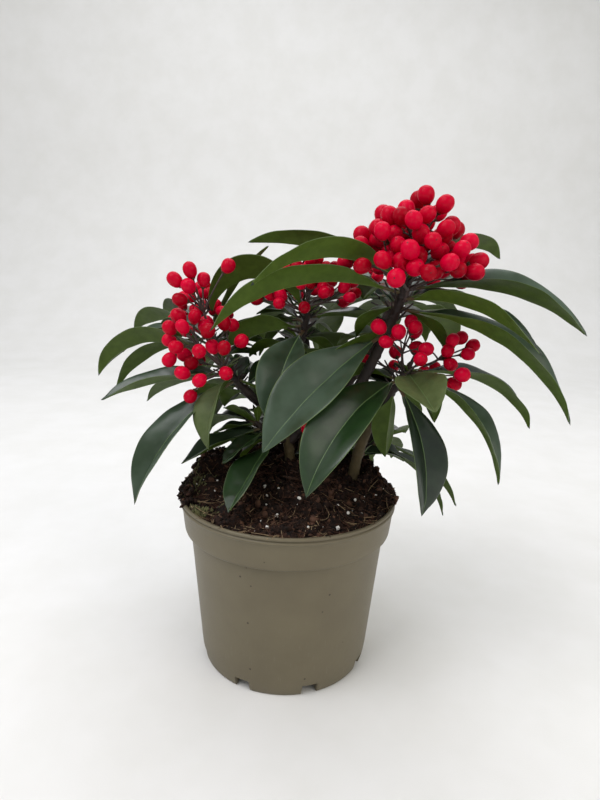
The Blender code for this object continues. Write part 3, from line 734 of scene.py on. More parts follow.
class PlantPlan:
    """Where everything on the plant is: its limbs, and each mass's leaves and berries."""

    def __init__(self) -> None:
        """Works the plant out in the model's own order: named leaves, fruit, seeded leaves."""
        self.limb_rule = LimbRule()
        self.leaf_rule = LeafRule()
        self.fruit_rule = FruitRule()
        self.ground = GroundRule()
        self.space = Space(self.leaf_rule, self.fruit_rule, self.ground)
        self.leaves: dict[str, list[tuple[np.ndarray, Leaf]]] = {name: [] for name in SHOOTS}
        self.berries: dict[str, np.ndarray] = {}
        for name, limb in LIMBS.items():
            self.space.add_limb(name, *self.limb_rule.path(limb))
        for name, shoot in SHOOTS.items():
            self.space.add_limb(name, *self.limb_rule.path(shoot.stem))
        for name, shoot in SHOOTS.items():
            self.place_named(name, shoot)
        for name, shoot in SHOOTS.items():
            if shoot.fruit:
                self.berries[name] = self.place_berries(name, shoot.fruit)
        for name, shoot in SHOOTS.items():
            self.place_seeded(name, shoot)

    def place_named(self, name: str, shoot: Shoot) -> None:
        """Places the leaves that are named one by one.

        Args:
            name: the mass.
            shoot: its shoot.
        """
        points = self.limb_rule.path(shoot.stem)[0]
        for leaf in shoot.leaves:
            base = on_path(points, leaf.at)
            settled = self.space.settle(name, base, leaf)
            if settled:
                self.leaves[name].append((base, settled))

    def place_berries(self, name: str, fruit: Fruit) -> np.ndarray:
        """Keeps the berries of a panicle that are free, and takes their room.

        Args:
            name: the mass.
            fruit: its panicle.

        Returns:
            The centres of the berries that stay.
        """
        radius = fruit.berry * MM / 2
        kept = []
        for centre in self.fruit_rule.centres(name, fruit):
            start = self.fruit_rule.start(fruit, centre)
            if self.space.berry_is_free(name, start, centre, radius):
                kept.append((start, centre))
        for start, centre in kept:
            self.space.add_berry(name, start, centre, radius)
        return np.array([centre for _, centre in kept])

    def place_seeded(self, name: str, shoot: Shoot) -> None:
        """Deals out the unnamed leaves over the shoot's sector by the golden angle.

        Args:
            name: the mass.
            shoot: its shoot.
        """
        points = self.limb_rule.path(shoot.stem)[0]
        wanted = len(self.leaves[name]) + shoot.seeded
        draw = random.Random(f"{SEED} {name}")
        low, high = shoot.sector
        for number in range(3 * shoot.seeded):
            turn = (number * GOLDEN_ANGLE / 360.0 + 0.15) % 1.0
            leaf = Leaf(
                low + (high - low) * turn,
                shoot.seeded_rise + draw.uniform(-26, 22),
                draw.uniform(35, 75),
                shoot.seeded_length * draw.uniform(0.82, 1.12),
                draw.uniform(22, 27),
                draw.uniform(-16, 16),
                0.35 + 0.6 * (number % 5) / 4,
            )
            base = on_path(points, leaf.at)
            if len(self.leaves[name]) < wanted and self.space.takes(name, base, leaf):
                self.leaves[name].append((base, leaf))


# Surfaces

def eased(t: np.ndarray) -> np.ndarray:
    """Gives 3t² - 2t³, which leaves 0 and reaches 1 softly."""
    return t * t * (3 - 2 * t)


def lattice_noise(points: np.ndarray, size: float | tuple, seed: int = 0) -> np.ndarray:
    """Gives smooth noise: seeded values on a cubic lattice, blended by 3t²-2t³ between corners.

    Args:
        points: the places, in metres.
        size: the lattice's spacing, one number or one for each axis.
        seed: which noise.

    Returns:
        A value from -1 to 1 for each point.
    """
    scaled = points / np.array(size, float)
    cells = np.floor(scaled).astype(np.int64)
    t = eased(scaled - cells)
    total = np.zeros(points.shape[:-1])
    for corner in itertools.product((0, 1), repeat=3):
        key = cells + corner
        mixed = key[..., 0] * 73856093 ^ key[..., 1] * 19349663 ^ key[..., 2] * 83492791
        mixed = (mixed ^ (seed + 1) * 40503) & 0xFFFFFFFF
        mixed = (mixed * 1664525 + 1013904223) & 0xFFFFFFFF
        mixed = ((mixed ^ (mixed >> 15)) * 2246822519) & 0xFFFFFFFF
        mixed ^= mixed >> 13
        weight = np.prod(np.where(np.array(corner) == 1, t, 1 - t), axis=-1)
        total += weight * (mixed / 0x7FFFFFFF - 1.0)
    return total


def ring_faces(rings: int, around: int) -> np.ndarray:
    """Joins rings of points into a closed tube whose two ends run to a pole.

    Args:
        rings: how many rings.
        around: how many points each has.

    Returns:
        Faces of four corners, ring by ring, then the triangles at the first and the last
        pole, whose fourth corner is -1. The poles are the two points after the rings.
    """
    ring, step = np.meshgrid(np.arange(rings - 1), np.arange(around), indexing="ij")
    a = ring * around + step
    b = ring * around + (step + 1) % around
    walls = np.stack([a, b, b + around, a + around], axis=-1).reshape(-1, 4)
    here = np.arange(around)
    after = (here + 1) % around
    end = (rings - 1) * around
    pole = np.full(around, rings * around)
    none = np.full(around, -1)
    first = np.stack([pole, after, here, none], axis=1)
    last = np.stack([pole + 1, end + here, end + after, none], axis=1)
    return np.concatenate([walls, first, last])


def path_frames(points: np.ndarray) -> tuple[np.ndarray, np.ndarray]:
    """Gives two directions square to a path at each of its points.

    Args:
        points: the path.

    Returns:
        Both directions at each point.
    """
    along = normed(np.gradient(points, axis=0))
    least = np.eye(3)[np.argmin(np.abs(points[-1] - points[0]))]
    side = normed(np.cross(along, least))
    return side, np.cross(along, side)


def full_turn(count: int) -> np.ndarray:
    """Gives angles in even steps round a full turn."""
    return np.linspace(0, 2 * np.pi, count, endpoint=False)


def outward(side: np.ndarray, other: np.ndarray, angle: np.ndarray) -> np.ndarray:
    """Gives cos a side + sin a other, for each place on a path and each angle."""
    return np.cos(angle)[:, None] * side[:, None] + np.sin(angle)[:, None] * other[:, None]


def turned_solid(
    wide: np.ndarray, high: np.ndarray, angle: np.ndarray, ends: tuple[float, float]
) -> np.ndarray:
    """Turns a section round the Z axis: (r cos a, r sin a, z), closed by a pole at either end.

    Args:
        wide: the radius of each ring, or of each ring and angle.
        high: the height of each ring, or of each ring and angle.
        angle: the angles.
        ends: the heights of the first and the last pole.

    Returns:
        The points, ring by ring, then the poles.
    """
    wide, high = (part.reshape(len(part), -1) for part in (wide, high))
    rings = np.stack(np.broadcast_arrays(wide * np.cos(angle), wide * np.sin(angle), high), axis=-1)
    return np.concatenate([rings.reshape(-1, 3), [[0, 0, end] for end in ends]])


def carried_round(points: np.ndarray, radii: np.ndarray, around: int) -> tuple:
    """Carries a round section along a path: c(s) + r(s, a) (cos a side + sin a other).

    Args:
        points: the path.
        radii: the radius at each point, or at each point and angle.
        around: how many points the section has.

    Returns:
        The points of the closed tube, and its faces.
    """
    side, other = path_frames(points)
    wide = np.broadcast_to(radii.reshape(len(points), -1), (len(points), around))[..., None]
    rings = points[:, None] + wide * outward(side, other, full_turn(around))
    surface = np.concatenate([rings.reshape(-1, 3), points[:1], points[-1:]])
    return surface, ring_faces(len(points), around)


def bent_path(start: np.ndarray, middle: np.ndarray, end: np.ndarray, steps: int) -> np.ndarray:
    """Follows (1-t)² start + 2t(1-t) middle + t² end."""
    t = np.linspace(0, 1, steps)[:, None]
    return (1 - t) ** 2 * start + 2 * t * (1 - t) * middle + t**2 * end


def turned_axes(draw: np.random.Generator, count: int) -> np.ndarray:
    """Gives a random turn for each of many pieces.

    Args:
        draw: the seeded choice.
        count: how many pieces.

    Returns:
        Three square axes for each.
    """
    first = normed(draw.normal(size=(count, 3)))
    second = normed(np.cross(first, draw.normal(size=(count, 3))))
    return np.stack([first, second, np.cross(first, second)], axis=1)


def axes_along(ways: np.ndarray, draw: np.random.Generator) -> np.ndarray:
    """Gives three square axes for each way, the last along it, turned about it at random."""
    side = normed(np.cross(ways, draw.normal(size=ways.shape)))
    return np.stack([side, np.cross(ways, side), ways], axis=1)


def set_on(points: np.ndarray, axes: np.ndarray, places: np.ndarray) -> np.ndarray:
    """Turns each copy of a surface to its own axes and sets it on its own place."""
    return np.einsum("bvk,bkj->bvj", points, axes) + places[:, None]


def put(name: str, data: bpy.types.ID) -> bpy.types.Object:
    """Makes an object of some data and links it into the scene.

    Args:
        name: the object's name.
        data: a mesh, a light or a camera.

    Returns:
        The new object.
    """
    result = bpy.data.objects.new(name, data)
    bpy.context.scene.collection.objects.link(result)
    return result


class Gathered:
    """Gathers closed surfaces of one kind into one piece: points, faces, finish of each."""

    def __init__(self) -> None:
        """Starts empty."""
        self.points: list[np.ndarray] = []
        self.faces: list[np.ndarray] = []
        self.finishes: list[np.ndarray] = []
        self.count = 0

    def add(self, points: np.ndarray, faces: np.ndarray, finish: np.ndarray | int = 0) -> None:
        """Adds one surface with one finish, or one for each face.

        Args:
            points: its points.
            faces: its faces, whose empty corners are -1.
            finish: the number of its finish, or one for each face.
        """
        self.points.append(points)
        self.faces.append(np.where(faces < 0, -1, faces + self.count))
        self.finishes.append(np.broadcast_to(np.asarray(finish), (len(faces),)))
        self.count += len(points)

    def add_many(self, points: np.ndarray, faces: np.ndarray, finish: np.ndarray | int = 0) -> None:
        """Adds many copies of a surface, each with its own points.

        Args:
            points: the points of each copy, copies first.
            faces: the faces that each copy has.
            finish: one finish, one for each copy, or one for each copy and face.
        """
        copies, each = points.shape[:2]
        step = (np.arange(copies) * each)[:, None, None]
        joined = np.where(faces[None] < 0, -1, faces[None] + step).reshape(-1, 4)
        wanted = np.asarray(finish)
        if wanted.ndim == 1:
            wanted = wanted[:, None]
        wanted = np.broadcast_to(wanted, (copies, len(faces))).reshape(-1)
        self.add(points.reshape(-1, 3), joined, wanted)

    def build(self, name: str, finishes: list[bpy.types.Material]) -> bpy.types.Object:
        """Makes the piece.

        Args:
            name: its name.
            finishes: its materials, in the order that the faces name them.

        Returns:
            The new object, which rides on the plant's body.
        """
        points = np.concatenate(self.points)
        faces = np.concatenate(self.faces)
        used = faces >= 0
        sizes = used.sum(axis=1)
        mesh = bpy.data.meshes.new(name)
        mesh.vertices.add(len(points))
        mesh.vertices.foreach_set("co", points.astype(np.float32).ravel())
        mesh.loops.add(int(sizes.sum()))
        mesh.loops.foreach_set("vertex_index", faces[used].astype(np.int32))
        mesh.polygons.add(len(faces))
        starts = np.concatenate([[0], np.cumsum(sizes)[:-1]]).astype(np.int32)
        mesh.polygons.foreach_set("loop_start", starts)
        mesh.update(calc_edges=True)
        mesh.validate()
        mesh.polygons.foreach_set("use_smooth", np.ones(len(mesh.polygons), bool))
        for finish in finishes:
            mesh.materials.append(finish)
        mesh.polygons.foreach_set("material_index", np.concatenate(self.finishes).astype(np.int32))
        triangles = int((sizes - 2).sum())
        if triangles > PIECE_LIMIT:
            log.warning("%s has %d triangles", name, triangles)
        piece = put(name, mesh)
        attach(piece, BODY)
        log.info("%s: %d triangles", name, triangles)
        return piece


# Finishes

def linear(code: str) -> tuple[float, float, float, float]:
    """Turns an sRGB hex value into a linear colour.

    Args:
        code: the value, as #rrggbb.

    Returns:
        Red, green, blue and an alpha of one.
    """
    parts = [int(code[place : place + 2], 16) / 255 for place in (1, 3, 5)]
    red, green, blue = (p / 12.92 if p <= 0.04045 else ((p + 0.055) / 1.055) ** 2.4 for p in parts)
    return red, green, blue, 1.0


def fill_inputs(tree: bpy.types.NodeTree, node: bpy.types.Node, inputs: dict) -> None:
    """Sets or links a node's inputs.

    Args:
        tree: the material's node tree.
        node: the node.
        inputs: a value, or an output to link, for each named input.
    """
    for name, value in inputs.items():
        if isinstance(value, bpy.types.NodeSocket):
            tree.links.new(value, node.inputs[name])
        else:
            node.inputs[name].default_value = value


def add_node(
    tree: bpy.types.NodeTree, kind: str, inputs: dict, **settings: object
) -> bpy.types.Node:
    """Adds a node with its settings, and sets or links its inputs.

    Args:
        tree: the material's node tree.
        kind: the node's type.
        inputs: a value, or an output to link, for each named input.
        settings: the node's own settings.

    Returns:
        The new node.
    """
    result = tree.nodes.new(kind)
    for name, value in settings.items():
        setattr(result, name, value)
    fill_inputs(tree, result, inputs)
    return result


@dataclass(frozen=True)
class Finish:
    """A natural or moulded surface: two close colours, a gloss that varies, a fine grain.

    Sizes are in millimetres. The mottle is broader than the grain, which also makes the bump.
    """

    name: str
    colour: str
    mottled: str
    mottle: float
    roughness: tuple[float, float]
    grain: float
    relief: float
    coat: float = 0.0
    coat_roughness: float = 0.2
    sheen: float = 0.0
    specular: float = 0.5
    subsurface: float = 0.0
    stretch: tuple[float, float, float] = (1.0, 1.0, 1.0)

    def build(self) -> bpy.types.Material:
        """Makes the material, which reads places on the object itself.

        Returns:
            The new material.
        """
        result = bpy.data.materials.new(self.name)
        result.use_nodes = True
        tree = result.node_tree
        shader = tree.nodes["Principled BSDF"]
        where = add_node(tree, "ShaderNodeTexCoord", {}).outputs["Object"]
        place = add_node(
            tree, "ShaderNodeMapping", {"Vector": where, "Scale": self.stretch}
        ).outputs["Vector"]
        mottle = add_node(
            tree, "ShaderNodeTexNoise",
            {"Vector": place, "Scale": 1 / (self.mottle * MM), "Detail": 3.0, "Roughness": 0.6},
        ).outputs["Fac"]
        grain = add_node(
            tree, "ShaderNodeTexNoise",
            {"Vector": place, "Scale": 1 / (self.grain * MM), "Detail": 2.0, "Roughness": 0.5},
        ).outputs["Fac"]
        spread = add_node(
            tree, "ShaderNodeMapRange",
            {"Value": mottle, "From Min": 0.35, "From Max": 0.65, "To Min": 0.0, "To Max": 1.0},
        ).outputs["Result"]
        colour = self.tint(tree, spread, place)
        gloss = add_node(
            tree, "ShaderNodeMapRange",
            {
                "Value": grain, "From Min": 0.3, "From Max": 0.7,
                "To Min": self.roughness[0], "To Max": self.roughness[1],
            },
        ).outputs["Result"]
        bump = add_node(
            tree, "ShaderNodeBump",
            {"Height": grain, "Strength": 1.0, "Distance": self.relief * MM},
        ).outputs["Normal"]
        fill_inputs(tree, shader, {
            "Base Color": colour, "Roughness": gloss, "Normal": bump, "Metallic": 0.0,
            "IOR": 1.46, "Specular IOR Level": self.specular, "Coat Weight": self.coat,
            "Coat Roughness": self.coat_roughness, "Sheen Weight": self.sheen,
            "Subsurface Weight": self.subsurface, "Subsurface Scale": 0.5,
            "Subsurface Radius": (0.004, 0.001, 0.0006),
        })
        result.diffuse_color = linear(self.colour)
        return result

    def tint(
        self, tree: bpy.types.NodeTree, spread: bpy.types.NodeSocket, place: bpy.types.NodeSocket
    ) -> bpy.types.NodeSocket:
        """Gives the colour: the two colours mixed by the mottle.

        Args:
            tree: the material's node tree.
            spread: how far the mottle is towards the second colour.
            place: the place on the object; not used here.

        Returns:
            The colour's output.
        """
        return add_node(
            tree, "ShaderNodeMixRGB",
            {"Fac": spread, "Color1": linear(self.colour), "Color2": linear(self.mottled)},
        ).outputs["Color"]


@dataclass(frozen=True)
class PotPlastic(Finish):
    """Moulded polypropylene that has been handled: faint rubs, dust and specks of peat."""

    rubbed: str = "#8d8677"
    dirt: str = "#2a1d14"

    def tint(
        self, tree: bpy.types.NodeTree, spread: bpy.types.NodeSocket, place: bpy.types.NodeSocket
    ) -> bpy.types.NodeSocket:
        """Adds pale upright rubs and small dark specks to the plastic's own colour.

        Args:
            tree: the material's node tree.
            spread: how far the mottle is towards the second colour.
            place: the place on the object.

        Returns:
            The colour's output.
        """
        plain = super().tint(tree, spread, place)
        upright = add_node(
            tree, "ShaderNodeMapping", {"Vector": place, "Scale": (1.0, 1.0, 0.12)}
        ).outputs["Vector"]
        streaks = add_node(
            tree, "ShaderNodeTexNoise",
            {"Vector": upright, "Scale": 900.0, "Detail": 4.0, "Roughness": 0.7},
        ).outputs["Fac"]
        rubs = add_node(
            tree, "ShaderNodeMapRange",
            {"Value": streaks, "From Min": 0.6, "From Max": 0.8, "To Min": 0.0, "To Max": 0.4},
        ).outputs["Result"]
        height = add_node(tree, "ShaderNodeSeparateXYZ", {"Vector": place}).outputs["Z"]
        low = add_node(
            tree, "ShaderNodeMapRange",
            {"Value": height, "From Min": 0.012, "From Max": 0.06, "To Min": 1.0, "To Max": 0.22},
        ).outputs["Result"]
        rubs = add_node(
            tree, "ShaderNodeMath", {0: rubs, 1: low}, operation="MULTIPLY"
        ).outputs["Value"]
        worn = add_node(
            tree, "ShaderNodeMixRGB",
            {"Fac": rubs, "Color1": plain, "Color2": linear(self.rubbed)},
        ).outputs["Color"]
        cells = add_node(
            tree, "ShaderNodeTexVoronoi", {"Vector": place, "Scale": 95.0, "Randomness": 1.0}
        ).outputs["Distance"]
        specks = add_node(
            tree, "ShaderNodeMapRange",
            {"Value": cells, "From Min": 0.04, "From Max": 0.07, "To Min": 0.85, "To Max": 0.0},
        ).outputs["Result"]
        return add_node(
            tree, "ShaderNodeMixRGB",
            {"Fac": specks, "Color1": worn, "Color2": linear(self.dirt)},
        ).outputs["Color"]


class Palette(Enum):
    """Every finish on the plant, each with what it gives the eye."""

    # Waxy upper skin of an evergreen leaf: deep blue green with a cool soft sheen
    LEAF_DEEP = Finish(
        "waxy_leaf_skin_deep", "#10200f", "#152913", 6, (0.3, 0.42), 0.5, 0.03,
        coat=0.3, coat_roughness=0.23,
    )
    # The same skin on younger leaves: a little lighter and warmer
    LEAF_MID = replace(LEAF_DEEP, name="waxy_leaf_skin_mid", colour="#182d12", mottled="#1e3616")
    # The same skin with painted light, for leaves near the light: painted lighter, and greyer in
    # large soft patches of painted sheen that stand for the light's reflection
    LEAF_PAINTED_SHEEN = replace(
        LEAF_DEEP, name="leaf_skin_painted_sheen", colour="#24361f", mottled="#40513f", mottle=26,
        coat=0.18, coat_roughness=0.24, specular=0.4,
    )
    # A young leaf, not yet waxed: pale olive, with little gloss
    LEAF_PALE = Finish(
        "young_leaf_skin", "#4a5730", "#556139", 5, (0.45, 0.6), 0.5, 0.04, specular=0.3
    )
    # Dull underside of the leaf: olive, matt, with fine pores
    UNDERSIDE = Finish(
        "matt_leaf_underside", "#3c4f10", "#465b18", 5, (0.5, 0.66), 0.35, 0.05, specular=0.28
    )
    # Midrib on the upper side: a thin pale green line that parts the blade
    MIDRIB = Finish(
        "pale_leaf_midrib", "#50683a", "#5b7343", 3, (0.4, 0.5), 0.3, 0.03,
        coat=0.2, coat_roughness=0.3,
    )
    # Midrib on the underside: thicker and yellower than the blade round it
    RIB_UNDER = Finish("pale_leaf_rib_under", "#56682f", "#607237", 3, (0.45, 0.6), 0.3, 0.04)
    # Margin of the blade: a hair of light along the edge, where the skin thickens
    MARGIN = Finish("pale_leaf_margin", "#54683a", "#5e7242", 4, (0.4, 0.5), 0.3, 0.02)
    # Leaf stalk: smooth, reddish green
    PETIOLE = Finish("smooth_leaf_stalk", "#4b4a2a", "#573f2b", 3, (0.4, 0.5), 0.3, 0.03)
    # Skin of the ripe berry: clear crimson with a soft highlight
    BERRY_CRIMSON = Finish(
        "ripe_berry_skin_crimson", "#bf0028", "#b60026", 3, (0.36, 0.48), 0.35, 0.02,
        coat=0.11, coat_roughness=0.14, specular=0.04, subsurface=0.05,
    )
    # The same skin where it is a little brighter
    BERRY_BRIGHT = replace(
        BERRY_CRIMSON, name="ripe_berry_skin_bright", colour="#cd0231", mottled="#c5012d"
    )
    # The same skin on the ripest fruit, which is darker
    BERRY_DEEP = replace(
        BERRY_CRIMSON, name="ripe_berry_skin_deep", colour="#a2001c", mottled="#980019"
    )
    # Dried flower scar at the tip of the berry: a small dark dot
    BERRY_TIP = Finish("dry_berry_tip", "#3c0a0e", "#4a1014", 0.8, (0.6, 0.8), 0.2, 0.06)
    # Calyx under the berry: a small green brown cup
    CALYX = Finish("dry_berry_calyx", "#3b2c1a", "#4a3a22", 1, (0.55, 0.7), 0.2, 0.05)
    # Stalks of the panicle: thin, dark, purple brown
    STALK = Finish("dark_fruit_stalk", "#33231f", "#43312b", 2, (0.5, 0.65), 0.25, 0.06, sheen=0.1)
    # Young bark on the boughs: dark purple brown, almost black in the shade
    BARK_YOUNG = Finish(
        "young_bark", "#1d1411", "#2b1e17", 4, (0.55, 0.75), 0.5, 0.15, stretch=(1.0, 1.0, 0.45)
    )
    # Older bark at the foot of the stems: brown with a green cast
    BARK_OLD = Finish(
        "older_bark", "#463c24", "#574a2e", 5, (0.6, 0.8), 0.6, 0.2, stretch=(1.0, 1.0, 0.45)
    )
    # Bud scales and young green wood at the tips of the shoots
    BUD = Finish("green_bud_scale", "#3a4420", "#453526", 1.5, (0.45, 0.6), 0.3, 0.05)
    # Moulded plastic of the pot: taupe, satin, with rubs and specks
    POT = PotPlastic(
        "moulded_polypropylene", "#645c48", "#69614c", 30, (0.4, 0.52), 0.35, 0.04, specular=0.45
    )
    # Peat of the root ball: dark, moist, fibrous
    PEAT = Finish("moist_peat", "#0b0705", "#2b1910", 3, (0.8, 1.0), 0.7, 0.5, specular=0.3)
    # Lumps of peat that lie loose on top
    CRUMB = Finish("loose_peat_crumb", "#120b08", "#361f14", 4, (0.8, 1.0), 0.5, 0.3, specular=0.3)
    # Rusty fibres of sphagnum in the peat
    FIBRE = Finish("sphagnum_fibre", "#3d2418", "#563825", 5, (0.7, 0.9), 0.3, 0.05)
    # Dried pale roots
    ROOT = Finish("dry_root", "#a08a6a", "#7d664a", 5, (0.7, 0.9), 0.3, 0.05)
    # Chips of bark in the mix
    CHIP = Finish("bark_chip", "#2c1b11", "#43291a", 3, (0.7, 0.9), 0.4, 0.2)
    # Grains of perlite: off-white and porous
    PERLITE = Finish("expanded_perlite", "#f0eee8", "#dcd8ce", 1, (0.8, 0.95), 0.25, 0.15)
    # Moss that has started on the peat
    MOSS = Finish("cushion_moss", "#66663f", "#454428", 3, (0.7, 0.9), 0.4, 0.1)


class Wardrobe:
    """Builds each finish once and hands it out."""

    def __init__(self) -> None:
        """Starts with no material built."""
        self.built: dict[Palette, bpy.types.Material] = {}

    def get(self, *wanted: Palette) -> list[bpy.types.Material]:
        """Gives the materials of some finishes, in order.

        Args:
            wanted: the finishes.

        Returns:
            Their materials.
        """
        for each in wanted:
            if each not in self.built:
                self.built[each] = each.value.build()
        return [self.built[each] for each in wanted]


@dataclass
class Dressed:
    """A kind of growth on the plant, dressed after the plan with the wardrobe's finishes."""

    plan: PlantPlan
    wardrobe: Wardrobe


# Leaves

class LeafPart(IntEnum):
    """The finishes of a leaf, in the order of its material slots."""

    DEEP = 0
    MID = 1
    # The skin with painted sheen: painted lighter, with grey patches of painted reflection
    PAINTED_SHEEN = 2
    UNDERSIDE = 3
    MIDRIB = 4
    RIB_UNDER = 5
    MARGIN = 6
    PETIOLE = 7
    BUD = 8
    PALE = 9


@dataclass(frozen=True)
class Blade:
    """A leaf carried finer: a thin closed shell with a folded midrib, veins and a wavy edge."""

    rule: LeafRule
    stations: int = 46
    columns: tuple[float, ...] = (0.0, 0.16, 0.34, 0.52, 0.7, 0.86, 0.972, 1.0)
    rib_half: float = 0.4 * MM
    thickness: float = 0.5 * MM
    petiole_thickness: float = 1.7 * MM
    rib_depth: float = 0.6 * MM
    vein_spacing: float = 7.0 * MM
    vein_depth: float = 0.26 * MM
    ripple: float = 0.5 * MM
    fold: float = 31.0
    widened: float = 1.06
    wave: float = 0.7 * MM
    grows_from: float = 0.06
    grows_over: float = 0.16
    petiole_end: float = 0.09
    crease: float = 1.2 * MM
    crown: float = 0.05
    ripple_size: float = 9.0 * MM
    vein_lean: float = 0.8

    def add(
        self, gathered: Gathered, base: np.ndarray, leaf: Leaf, tint: LeafPart, draw: random.Random
    ) -> None:
        """Adds one leaf.

        The surface is m(s) + d side + (lift(d) ± t(s, d) / 2) above, where m is the midrib, d
        the distance from it, and lift a soft V: sin(fold) (√(d² + q²) - q), where q is the crease.

        Args:
            gathered: where the leaf goes.
            base: where it leaves its stem.
            leaf: the leaf.
            tint: the finish of its upper side.
            draw: the seeded choice of its waves.
        """
        share = np.linspace(0, 1, self.stations + 1)
        points = self.rule.midrib(base, leaf, self.stations)
        side, above = self.rule.frames(points, leaf.roll)
        # The rule's frames turn over where a leaf hangs past the vertical, which its skin doesn't
        turned = np.where((side[1:] * side[:-1]).sum(axis=1) < 0, -1.0, 1.0)
        keep = np.concatenate([[1.0], np.cumprod(turned)])[:, None]
        side, above = side * keep, above * keep
        half = self.rule.half_width(leaf, share)[:, None] * self.widened
        rib = np.minimum(self.rib_half * (1 - 0.7 * share[:, None]), 0.35 * half)
        out = rib + (half - rib) * np.array(self.columns)
        reach = np.concatenate([-out[:, ::-1], np.zeros_like(half), out], axis=1)
        across = np.abs(reach) / half
        grown = eased(np.clip((share[:, None] - self.grows_from) / self.grows_over, 0, 1))
        fold = math.radians(self.fold)
        lift = math.sin(fold) * (np.sqrt(reach**2 + self.crease**2) - self.crease) * grown
        lift += self.crown * half * np.sin(np.pi * across) * grown
        spread = points[:, None] + reach[..., None] * side[:, None]
        ripples = lattice_noise(spread, self.ripple_size, 5)
        lift += self.ripple * ripples * grown * np.minimum(half / (6 * MM), 1)
        turns = draw.uniform(1.4, 2.6)
        for sign in (-1, 1):
            phase = draw.uniform(0, 2 * math.pi)
            waves = np.sin(2 * np.pi * turns * share[:, None] + phase)
            lift += self.wave * waves * across**3 * grown * (np.sign(reach) == sign)
        along = share[:, None] * leaf.length * MM
        vein = (along - self.vein_lean * np.abs(reach)) / self.vein_spacing + draw.random()
        window = np.sin(np.pi * np.clip(across, 0, 1)) ** 0.6 * grown
        relief = self.vein_depth * np.abs(np.sin(np.pi * vein)) ** 0.7 * window
        thick = self.petiole_thickness + (self.thickness - self.petiole_thickness) * grown
        power = 2 + 6 * grown
        body = thick / 2 * np.sqrt(np.clip(1 - across**power, 0, 1))
        ridge = self.rib_depth * np.exp(-((reach / (0.7 * MM)) ** 2)) * (1 - 0.75 * share[:, None])
        ridge *= grown * (half > self.rib_half)
        flat = math.cos(fold * 0.9)
        middle = points[:, None] + flat * reach[..., None] * side[:, None]
        top = middle + (lift + body + relief)[..., None] * above[:, None]
        under = middle + (lift - body - ridge + 0.6 * relief)[..., None] * above[:, None]
        rings = np.concatenate([top, under[:, -2:0:-1]], axis=1)[:-1]
        around = rings.shape[1]
        surface = np.concatenate([rings.reshape(-1, 3), points[:1], points[-1:]])
        upper = top.shape[1] - 1
        finish = np.full((self.stations - 1, around), int(LeafPart.UNDERSIDE))
        finish[:, :upper] = tint
        finish[:, [0, upper - 1, upper, around - 1]] = LeafPart.MARGIN
        finish[:, [upper // 2 - 1, upper // 2]] = LeafPart.MIDRIB
        low = upper + upper // 2
        finish[:, [low - 1, low]] = LeafPart.RIB_UNDER
        finish[share[: self.stations - 1] < self.petiole_end] = LeafPart.PETIOLE
        ends = np.repeat([int(LeafPart.PETIOLE), int(tint)], around)
        gathered.add(
            surface, ring_faces(self.stations, around), np.concatenate([finish.ravel(), ends])
        )


